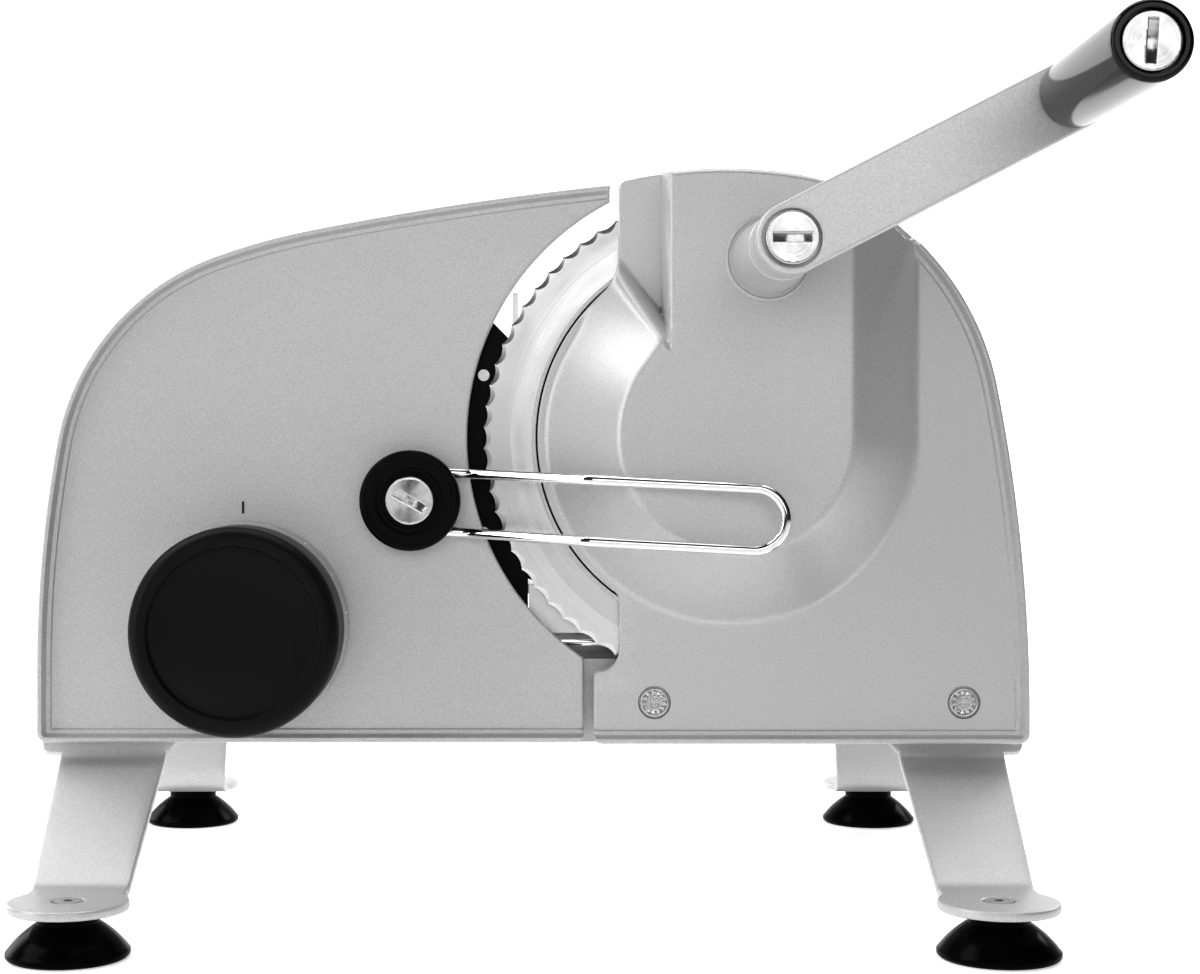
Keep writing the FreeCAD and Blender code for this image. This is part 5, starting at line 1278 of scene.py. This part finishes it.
# The blade and the coin-slot screws.
@dataclass
class Blade:
    """The round blade: hollow waves round its edge, each with a ground facet, and a dished seat."""

    x: float = 68.0
    z: float = 163.0
    radius: float = 85.0
    waves: int = 72
    deep: float = 1.1
    back: float = -54.0
    gauge: float = 2.0
    bevel: float = 75.6
    seat: float = 24.0
    seat_deep: float = 3.5
    hole: float = 4.0
    wave_steps: int = 14
    edge_gauge: float = 0.25
    facet_slope: float = 0.42

    def build(self) -> None:
        """Makes the blade as two faces over (angle, distance from the edge).

        The edge of a wave is a hollow arc: r = D cos t - sqrt(w^2 - D^2 sin^2 t), t from the middle of the
        wave. The front is the farther back of the long bevel and of the short facet; they meet in a crescent.
        """
        angles = np.linspace(0, 2 * math.pi, self.waves * self.wave_steps + 1)
        half = math.pi / self.waves
        chord = self.radius * math.sin(half)
        hollow = self.deep - self.radius * (1 - math.cos(half))
        bend_radius = (chord**2 + hollow**2) / (2 * hollow)
        centre = self.radius * math.cos(half) + bend_radius - hollow
        turn = (angles + half) % (2 * half) - half
        rim = centre * np.cos(turn) - np.sqrt(bend_radius**2 - (centre * np.sin(turn)) ** 2)
        front = self.back - self.gauge
        bevel_slope = (self.gauge - self.edge_gauge) / (self.radius - self.bevel)
        edge, crown = self.back - 0.08, self.back - self.edge_gauge
        crest = (edge - crown + bevel_slope * (self.radius - rim)) / (self.facet_slope - bevel_slope)
        cone_end = self.seat + self.seat_deep * 1.6
        rows = [(rim, np.full_like(rim, edge))]
        for share in (0.5, 1.0):
            rows.append((rim - share * crest, edge - self.facet_slope * share * crest))
        for share in (0.02, 0.2, 0.4, 0.6, 0.8, 0.98):
            radius = (1 - share) * (rim - crest) + share * self.bevel
            rows.append((radius, crown - bevel_slope * (self.radius - radius)))
        seat = self.back - self.seat_deep
        face = [(self.bevel, front), (self.bevel - 0.2, front - 0.01), (73.0, front - 0.2),
                (67.0, front - 0.62), (55.0, front - 1.2), (40.0, front - 1.2), (cone_end, front),
                (self.seat, seat - self.gauge), (self.hole, seat - self.gauge), (self.hole, seat),
                (self.seat, seat)]
        rear = [(radius, self.back) for radius in (cone_end, 50.0, 75.0, 82.0)]
        rows += [(np.full_like(rim, radius), np.full_like(rim, depth)) for radius, depth in face + rear]
        rows += [(rim, np.full_like(rim, self.back)), rows[0]]
        radii, depths = np.array(rows).transpose(1, 0, 2)
        u, v = radii * np.cos(angles), radii * np.sin(angles)
        uv = np.stack(np.broadcast_arrays(angles / (2 * math.pi), radii / CM), axis=2).reshape(-1, 2)
        points = across(self.x, self.z)(u.ravel(), v.ravel(), depths.ravel())
        disc = grid(points, len(rows), len(angles), uv)
        disc.piece("blade_disc", "blade", BLADE, "slicing_blade", crease=4.0)


@dataclass
class CoinScrew:
    """A round-headed screw with a coin slot, spun on its face; way is -1.0 where its head looks back."""

    name: str
    node: str
    body: str
    x: float
    z: float
    front: float
    deep: float
    slot_angle: float
    shank: float
    end: float
    way: float = 1.0
    radius: float = 8.2
    slot_half: float = 1.25
    slot_long: float = 5.8
    slot_deep: float = 2.3
    slot_arc: float = 1.5
    flare: float = 0.12

    def build(self) -> None:
        """Makes the head as a slab whose front sinks in the slot, and the shank as a lathe."""
        turn = math.radians(self.slot_angle)
        along, over = (math.cos(turn), math.sin(turn)), (-math.sin(turn), math.cos(turn))

        def front(points: np.ndarray, away: np.ndarray) -> np.ndarray:
            """Depth of the head: the slot's walls are a steep step of the distance to it, its floor an arc.

            Args:
                points: where to measure, from the head's middle.
                away: their distance to the edge.
            Returns:
                One depth for each point.
            """
            run = abs(points @ along)
            gap = np.maximum(run - self.slot_long, abs(points @ over) - self.slot_half)
            floor = self.slot_deep - self.slot_arc * np.clip(run / self.slot_long, 0, 1) ** 2
            sunk = floor * (1 - ease(gap, -0.08, 0.08)) + self.flare * (1 - ease(gap, 0.0, 0.25))
            return self.front + self.way * (drop(away, 0.5) + sunk)

        box = [(-self.slot_long, -self.slot_half), (self.slot_long, -self.slot_half),
               (self.slot_long, self.slot_half), (-self.slot_long, self.slot_half)]
        corners = [(u * along[0] + v * over[0], u * along[1] + v * over[1]) for u, v in box]
        middle = outline(corners, 0.35)
        lines = [offset(middle, shift) for shift in (-0.3, -0.14, -0.08, 0.08, 0.16)]
        slab = Slab(ring(0.0, 0.0, self.radius, 0.5), pitch=0.5, coarse=2, insets=(0.06, 0.15, 0.3, 0.5),
                    lines=lines)
        head_end = self.front + self.way * self.deep
        shell = slab.shell(front, flat(head_end), across(self.x, self.z), polar=True)
        root, chamfer = head_end - self.way * 0.5, 0.6
        shank = fillet([(0.0, root), (self.shank, root), (self.shank, self.end - self.way * chamfer),
                        (self.shank - chamfer, self.end), (0.0, self.end)])
        shell = shell + lathe(shank, across(self.x, self.z), 32, loop=False)
        shell.piece(self.name, self.body, SPUN, self.node)


@dataclass
class CoverScrews:
    """The two screws of the gear cover: a flat rim, a ring of small teeth, a raised socket with a cross."""

    places: Arcs = GearCover.screws
    front: float = -61.0
    head_end: float = -58.2
    end: float = -41.1
    radius: float = 4.9
    shank: float = 2.6
    teeth: int = 12
    teeth_radius: float = 3.45
    moat_radius: float = 1.75
    cross_half: float = 0.4
    cross_long: float = 1.5

    def depth(self, points: np.ndarray, away: np.ndarray) -> np.ndarray:
        """Depth of the head: teeth (cos(n t) + 1) / 2 in a groove, a socket, a cross |u| or |v| < half.

        Args:
            points: where to measure, from the head's middle.
            away: their distance to the edge.
        Returns:
            One depth for each point.
        """
        u, v = points[:, 0], points[:, 1]
        out = np.hypot(u, v)
        wave = 0.5 * (1 + np.cos(self.teeth * np.arctan2(v, u)))
        teeth = wave * (1 - ease(abs(out - self.teeth_radius), 0.3, 0.75))
        groove = (1 - ease(out, 4.1, 4.35)) * ease(out, 2.3, 2.5)
        cross = (np.minimum(abs(u), abs(v)) < self.cross_half) & (out < self.cross_long)
        moat = 1 - ease(abs(out - self.moat_radius), 0.1, 0.3)
        sunk = groove * (0.75 - 0.6 * teeth) + 0.5 * moat + np.where(cross, 0.5, 0.0)
        return self.front + sunk + drop(away, 0.3)

    def build(self) -> None:
        """Makes both screws as one piece, each a slab with a shank behind it."""
        rings = [ring(0.0, 0.0, radius, 0.3) for radius in (1.45, 1.65, 1.85, 2.05, 2.3, 2.5, 4.1, 4.35)]
        slab = Slab(ring(0.0, 0.0, self.radius, 0.3), pitch=0.2, coarse=1, insets=(0.05, 0.15, 0.3),
                    lines=rings)
        root = self.head_end - 0.4
        shank = fillet([(0.0, root), (self.shank, root), (self.shank, self.end - 0.5),
                        (self.shank - 0.5, self.end), (0.0, self.end)])
        left, right = [slab.shell(self.depth, flat(self.head_end), across(x, z))
                       + lathe(shank, across(x, z), 32, loop=False) for x, z in self.places]
        (left + right).piece("serrated_screws", "stand", SCREW, "cover_screws")


# The crank with its grip.
@dataclass
class Crank:
    """Arm with round ends and hub, grip on its spindle and the two coin-slot screws."""

    x: float = 78.0
    z: float = 222.2
    grip_x: float = 162.5
    grip_z: float = 265.5
    half: float = 10.9
    front: float = -152.5
    gauge: float = 8.0
    hub: float = 10.6
    hub_end: float = -127.8
    seat: float = 8.8
    bore: float = 3.0
    grip_end: float = -234.2
    grip_seat: float = 8.7
    grip_wide: float = 11.1

    def build(self) -> None:
        """Makes the crank."""
        lean = math.atan2(self.grip_z - self.z, self.grip_x - self.x)
        sine, cosine = math.sin(lean) * self.half, math.cos(lean) * self.half
        loop = [(self.x + sine, self.z - cosine), (self.grip_x + sine, self.grip_z - cosine, self.half),
                (self.grip_x + cosine, self.grip_z + sine, self.half),
                (self.grip_x - sine, self.grip_z + cosine),
                (self.x - sine, self.z + cosine, self.half), (self.x - cosine, self.z - sine, self.half)]
        holes = [ring(self.x, self.z, self.seat, 0.6), ring(self.grip_x, self.grip_z, 4.0)]
        slab = Slab(outline(loop, 0.8), holes=holes, insets=(0.08, 0.25, 0.5, 0.9, 1.2), coarse=6)
        floor, back, wide, end = self.front + 3.0, self.front + self.gauge, self.hub + 0.6, self.hub_end
        shell = slab.shell(flat(self.front, 0.9, 1.0), flat(back, 0.6, -1.0), across())
        hub = fillet([(self.bore, floor), (self.seat, floor), (self.seat, back - 0.5), (wide, back - 0.5),
                      (wide, back, 0.2), (self.hub, back + 0.8, 0.4), (self.hub, end - 0.5, 0.3),
                      (self.hub - 0.5, end), (5.0, end), (5.0, -147.5), (self.bore, -147.5)])
        shell = shell + lathe(hub, across(self.x, self.z), 96)
        shell.piece("crank_bar", "crank", ARM, "crank_arm")
        end, root, seat, wide = self.grip_end, self.front - 0.3, self.grip_seat, self.grip_wide
        grip = fillet([(4.08, root), (4.08, end + 4.1), (seat, end + 4.1), (seat, end, 0.3), (wide, end, 1.4),
                       (wide, end + 3.0), (10.9, (end + root) / 2), (10.6, root - 3.0), (10.5, root, 0.8),
                       (9.0, root)], turn_step=0.15)
        lathe(grip, across(self.grip_x, self.grip_z), 128).piece("grip_sleeve", "grip", GRIP, "crank_grip")
        CoinScrew("crank_coin_screw", "crank_screw", "crank", self.x, self.z, front=self.front - 0.2,
                  deep=3.2, slot_angle=0.0, shank=3.0, end=self.front + 16.8).build()
        CoinScrew("grip_coin_screw", "grip_screw", "crank", self.grip_x, self.grip_z, front=end + 0.6,
                  deep=3.2, slot_angle=86.0, shank=2.5, end=end + 16.6).build()


# The thickness knob and the slice deflector on the fence.
@dataclass
class Knob:
    """The round knob with its dished face, over the dial ring."""

    x: float = -99.0
    z: float = 98.3
    radius: float = 35.0
    front: float = -93.0
    back: float = -69.0
    band: float = 35.8
    ticks: int = 14

    def build(self) -> None:
        """Makes knob, dial ring and the ticks of the dial."""
        front, back, wide, place = self.front, self.back, self.radius, across(self.x, self.z)
        dish = [(0.0, front + 4.2), (6.0, front + 4.13), (12.0, front + 3.9), (18.0, front + 3.35),
                (23.0, front + 2.55), (26.4, front + 1.75, 3.0)]
        rim = [(27.9, front + 1.75, 0.5), (28.7, front + 0.35, 0.8), (30.2, front, 1.6), (wide, front, 4.6),
               (wide, back - 0.6, 0.5), (wide - 0.6, back), (wide - 3.2, back), (wide - 3.2, front + 9.0),
               (13.4, front + 9.0), (13.4, -53.9), (12.5, -53.9), (12.5, -53.1), (13.4, -53.1), (13.4, -52.8),
               (10.0, -52.8), (10.0, -86.2), (0.0, -86.2)]
        turning = lathe(fillet(dish + rim, turn_step=0.12), place, 160, loop=False)
        turning.piece("knob_turning", "knob", KNOB, "thickness_knob")
        dial = fillet([(27.0, back), (self.band, back, 0.5), (self.band, -57.8, 0.4), (33.8, -57.8),
                       (33.8, -66.5), (27.0, -66.5)])
        lathe(dial, place, 128).piece("dial_band", "knob", DIAL, "dial_ring")
        ticks = self.tick(0)
        for number in range(1, self.ticks):
            ticks = ticks + self.tick(number)
        ticks.piece("dial_ticks", "knob", TICK)

    def tick(self, number: int) -> Shell:
        """A thin raised line on the band: a box bent to (r cos t, r sin t), r just under and just over it.

        Args:
            number: the tick's; even ones are long.
        Returns:
            The closed box.
        """
        turn, half = math.radians(number * 22.5 + 8.0), 0.011
        long = 3.4 if number % 2 else 6.0
        t, h = np.meshgrid(np.linspace(-half, half, 4), np.linspace(0.0, long, 2), indexing="ij")
        u, v, y = np.cos(turn + t), np.sin(turn + t), self.back + 0.4 + h
        inner, outer = [np.stack([radius * u, radius * v, y], axis=2)
                        for radius in (self.band - 0.1, self.band + 0.04)]
        rows = np.stack([inner[:, 0], outer[:, 0], outer[:, 1], inner[:, 1], inner[:, 0]])
        shell = grid(across(self.x, self.z)(*rows.reshape(-1, 3).T), 5, 4, np.zeros((20, 2)))
        ends = np.array([[0, 4, 8, 12], [15, 11, 7, 3]])
        whole = Shell(shell.points, shell.triangles, np.concatenate([shell.quads, ends]), shell.uv)
        middle = whole.points.mean(0)
        corners = whole.points[ends[0]]
        normal = np.cross(corners[1] - corners[0], corners[2] - corners[0])
        if normal @ (corners.mean(0) - middle) < 0:
            whole.quads = np.concatenate([shell.quads, ends[:, ::-1]])
        return whole


@dataclass
class Deflector:
    """The wire loop, its clamp disc and the screw."""

    x: float = -41.9
    z: float = 141.5
    wire: float = 1.75
    half: float = 10.15
    long: float = 114.5
    tilt: float = 2.8
    front: float = -69.0

    def loop_shell(self) -> Shell:
        """A round wire along a bent ribbon.

        The ribbon's middle line is a rounded path (u, y) with way A; the wire's path lies in the ribbon at
        (s, w), straight at w = +-half and round the end on a half circle. Its rings are
        p + r (cos t N + sin t (T x N)), with N square to the ribbon.

        Returns:
            The closed wire, turned to its tilt.
        """
        middle = fillet([(6.5, -61.5), (20.0, -61.5, 9.0), (60.0, -90.5, 11.0), (self.long, -97.2),
                         (135.0, -99.7)], turn_step=0.05)
        lengths = runs(middle)
        loop_end = np.interp(self.long, middle[:, 0], lengths)
        straight = np.unique(np.concatenate([lengths[lengths < loop_end], np.linspace(0, loop_end, 40)]))
        angles = np.linspace(math.pi / 2, -math.pi / 2, 40)
        s = np.concatenate([straight, loop_end + self.half * np.cos(angles)[1:-1], straight[::-1]])
        w = np.concatenate([np.full(len(straight), self.half), self.half * np.sin(angles)[1:-1],
                            np.full(len(straight), -self.half)])
        u, y = np.interp(s, lengths, middle[:, 0]), np.interp(s, lengths, middle[:, 1])
        reach = 0.3
        near, far = np.maximum(s - reach, 0), s + reach
        way_u = np.interp(far, lengths, middle[:, 0]) - np.interp(near, lengths, middle[:, 0])
        way_y = np.interp(far, lengths, middle[:, 1]) - np.interp(near, lengths, middle[:, 1])
        size = np.hypot(way_u, way_y)
        flat_path = np.stack([u, y, w], axis=1)
        normal = np.stack([-way_y / size, way_u / size, np.zeros_like(u)], axis=1)
        tangent = np.gradient(flat_path, axis=0)
        tangent /= np.linalg.norm(tangent, axis=1, keepdims=True)
        across_way = np.cross(tangent, normal)
        across_way /= np.linalg.norm(across_way, axis=1, keepdims=True)
        turn = np.linspace(0, 2 * math.pi, 25)
        rings = flat_path[:, None] + self.wire * (np.cos(turn)[None, :, None] * normal[:, None]
                                                  + np.sin(turn)[None, :, None] * across_way[:, None])
        caps = [np.broadcast_to(point, (1, *rings[0].shape)) for point in (flat_path[0], flat_path[-1])]
        rings = np.concatenate([caps[0], rings, caps[1]])
        lean = math.radians(-self.tilt)
        u, y, w = rings.reshape(-1, 3).T
        points = np.stack([self.x + u * math.cos(lean) - w * math.sin(lean), y,
                           self.z + u * math.sin(lean) + w * math.cos(lean)], axis=1)
        return grid(points, len(rings), len(turn), np.zeros((len(points), 2)))

    def build(self) -> None:
        """Makes the loop, the disc with its steps and the screw."""
        self.loop_shell().piece("deflector_wire", "deflector", WIRE, "deflector_loop", crease=60.0)
        front = self.front
        disc = fillet([(5.05, -57.3), (5.05, -63.3), (3.0, -63.3), (3.0, front + 2.6), (9.8, front + 2.6),
                       (9.8, front + 1.0, 0.2), (10.9, front + 1.0), (11.6, front + 0.2, 0.4),
                       (12.2, front, 0.4), (14.6, front, 0.3), (14.9, front + 0.25, 0.2), (15.2, front, 0.3),
                       (17.2, front, 1.6), (17.2, -57.3, 0.4), (16.6, -57.3)], turn_step=0.15)
        lathe(disc, across(self.x, self.z), 128).piece("clamp_disc", "deflector", BLACK, "deflector_clamp")
        CoinScrew("clamp_coin_screw", "deflector_screw", "deflector", self.x, self.z, front=front - 0.2,
                  deep=2.8, slot_angle=-29.0, shank=3.0, end=front + 13.3).build()


@dataclass
class Carriage:
    """The food carriage and the remnant holder, mostly behind the plates."""

    block_left: float = 31.0
    # These nodes wear the lighter silver copy, whose extra brightness is painted light for the recess behind
    # the fence.
    bright: tuple[str, ...] = ("carriage_table", "pusher_wall")
    pieces: tuple[tuple[str, str, str, float], ...] = (
        ("carriage_table", "carriage_tray", "carriage", 0.5),
        ("pusher_wall", "wall_sheet", "carriage", 0.4),
        ("finger_guard", "guard_sheet", "carriage", 0.5),
        ("slide_shoe", "shoe_body", "carriage", 0.4),
        ("holder_plate", "holder_sheet", "holder", 0.6))

    def short_block(self) -> None:
        """Makes the slide block without its end in the throat, where the bare rail shows, from a cut copy."""
        mesh = frame["nodes"]["slide_block"].data.copy()
        cut = bmesh.new()
        cut.from_mesh(mesh)
        bmesh.ops.remove_doubles(cut, verts=cut.verts, dist=1e-6)
        place = tuple((ORIGIN + np.array([self.block_left, 0.0, 0.0])) * MM)
        found = bmesh.ops.bisect_plane(cut, geom=cut.verts[:] + cut.edges[:] + cut.faces[:], plane_co=place,
                                       plane_no=(1.0, 0.0, 0.0), clear_inner=True)
        edges = [part for part in found["geom_cut"] if isinstance(part, bmesh.types.BMEdge)]
        bmesh.ops.triangle_fill(cut, edges=edges, use_beauty=True)
        bmesh.ops.recalc_face_normals(cut, faces=cut.faces)
        cut.to_mesh(mesh)
        cut.free()
        settle(mesh, "block_body", "carriage", BLACK, ("slide_block",))

    def build(self) -> None:
        """Eases the sheets and blocks."""
        self.short_block()
        for node, name, body, width in self.pieces:
            eased(node, name, body, LIT_SILVER if node in self.bright else BLACK, width)


# Camera, floor and light.
@dataclass(frozen=True)
class Lamp:
    """An area light at a place, turned to an aim, both in metres, with its two sides and its watts."""

    name: str
    place: tuple[float, float, float]
    aim: tuple[float, float, float]
    size: tuple[float, float]
    power: float

    def build(self) -> None:
        """Hangs the lamp: tilted by acos(-z), turned by atan2(-x, y) of its way to the aim."""
        data = bpy.data.lights.new(self.name, "AREA")
        data.shape = "RECTANGLE"
        data.size, data.size_y = self.size
        data.energy = self.power
        thing = bpy.data.objects.new(self.name, data)
        thing.location = self.place
        thing.visible_camera = False
        way = np.array(self.aim) - np.array(self.place)
        thing.rotation_euler = (math.acos(-way[2] / np.linalg.norm(way)), 0, math.atan2(-way[0], way[1]))
        bpy.context.scene.collection.objects.link(thing)


@dataclass
class Studio:
    """A pale floor that runs up into a backdrop, soft lights all round, and the camera."""

    lens: float = 64.5
    shift_x: float = 0.0642
    shift_y: float = -0.0192
    eye: tuple[float, float, float] = (-3.3, -799.5, 154.0)
    haze: float = 0.02
    stand_off: float = 0.756
    spread: tuple[float, float] = (0.036, 0.279)
    glow: float = 0.55
    side: float = 4.0
    lamps: tuple[Lamp, ...] = (
        Lamp("left", (-1.7, -0.8, 0.3), (0.0, 0.0, 0.14), (0.6, 1.6), 15.2),
        Lamp("top", (0.1, 0.1, 1.9), (0.0, 0.0, 0.1), (1.6, 1.2), 12.6),
        Lamp("top_left", (-1.15, -0.05, 1.35), (0.0, 0.0, 0.18), (0.9, 0.9), 13.5),
        Lamp("front", (0.0, -2.6, 0.9), (0.0, 0.0, 0.14), (2.4, 1.2), 17.8),
        Lamp("wall", (0.0, 0.3, 2.3), (0.0, 1.9, 0.5), (3.0, 0.8), 20.0),
        Lamp("back_right", (1.35, 1.25, 1.15), (0.0, 0.0, 0.18), (0.7, 0.7), 12.0),
        Lamp("back_left", (-1.4, 1.2, 0.5), (0.0, 0.0, 0.16), (0.6, 1.0), 9.0))

    def camera(self) -> None:
        """Sets the camera: level, looking along +Y."""
        data = bpy.data.cameras.new("camera")
        data.lens = self.lens
        data.shift_x, data.shift_y = self.shift_x, self.shift_y
        data.clip_start = 0.01
        thing = bpy.data.objects.new("camera", data)
        thing.location = (ORIGIN + self.eye) * MM
        thing.rotation_euler = (math.radians(90), 0, 0)
        bpy.context.scene.collection.objects.link(thing)
        bpy.context.scene.camera = thing

    def surroundings(self) -> None:
        """A faint world light, so that nothing mirrors pure black."""
        world = bpy.data.worlds.new("world")
        world.use_nodes = True
        bpy.context.scene.world = world
        background = world.node_tree.nodes["Background"]
        background.inputs["Color"].default_value = (1.0, 1.0, 1.0, 1.0)
        background.inputs["Strength"].default_value = self.haze

    def floor(self) -> None:
        """A pale floor that bends up into a wall behind the object: a profile (y, z) pushed along X.

        It glows in a wedge behind the object, which opens from stand_off before it with the slopes of spread.
        """
        profile = fillet([(-self.side, 0.0), (1.9, 0.0, 0.9), (1.9, 3.2)], turn_step=0.05)
        x = np.array([-self.side, self.side])
        below = 0.0002
        points = np.stack(np.broadcast_arrays(x[None], profile[:, :1], profile[:, 1:] - below), axis=2)
        points = points.reshape(-1, 3)
        index = np.arange(len(points)).reshape(-1, 2)
        quads = np.stack([index[:-1, 0], index[:-1, 1], index[1:, 1], index[1:, 0]], axis=1)
        mesh = bpy.data.meshes.new("floor")
        mesh.from_pydata(points.tolist(), [], quads.tolist())
        mesh.shade_smooth()
        bench = Bench("pale_floor")
        place = bench.add("ShaderNodeSeparateXYZ", {"Vector": bench.coords.outputs["Object"]})
        far = bench.sum("ADD", place.outputs["Y"], self.stand_off)
        middle = bench.sum("MULTIPLY_ADD", far, -self.spread[0], place.outputs["X"])
        beside = bench.sum("MULTIPLY_ADD", far, -self.spread[1], bench.sum("ABSOLUTE", middle))
        glow = bench.sum("MULTIPLY", bench.span(place.outputs["Y"], -0.2, -0.1, 0.0, self.glow),
                         bench.span(beside, 0.02, 0.25, 1.0, 0.0))
        glow = bench.sum("MULTIPLY", glow, bench.span(place.outputs["Z"], 0.76, 1.1, 1.0, 0.0))
        bench.set(Base_Color=bench.tint(bench.noise(3.0), (0.93, 0.93, 0.93), (0.95, 0.95, 0.95)),
                  Roughness=0.8,
                  Emission_Color=(1.0, 1.0, 1.0, 1.0),
                  Emission_Strength=glow)
        mesh.materials.append(bench.material)
        thing = bpy.data.objects.new("floor", mesh)
        bpy.context.scene.collection.objects.link(thing)

    def build(self) -> None:
        """Sets up the studio."""
        self.camera()
        self.floor()
        self.surroundings()
        for lamp in self.lamps:
            lamp.build()
        view = bpy.context.scene.view_settings
        view.view_transform = "Standard"
        view.look = "None"


def dress_frame() -> None:
    """Gives every CAD node that still shows its material, by its slot in the record."""
    for part in frame["record"]["subparts"]:
        thing = frame["nodes"][part["node"]]
        dress = BY_SLOT[part["material_slot"]]
        finish = TURNED.finish if dress.slot is Slot.BLADE else dress.finish
        thing.data.materials.clear()
        thing.data.materials.append(finish.material())


def main() -> None:
    """Builds the studio and every sub-assembly."""
    logging.basicConfig(level=logging.INFO, format="%(name)s: %(message)s")
    Studio().build()
    dress_frame()
    blade_screw = CoinScrew("blade_coin_screw", "blade_screw", "blade", Blade.x, Blade.z, front=-54.2,
                            deep=3.3, slot_angle=20.0, shank=4.0, end=-68.2, way=-1.0)
    for assembly in (Stand(), GearCover(), CoverScrews(), Fence(), Blade(), Crank(), Knob(), Deflector(),
                     Carriage(), blade_screw):
        assembly.build()
        log.info("%s is in place", type(assembly).__name__)


if __name__ == "__main__":
    main()
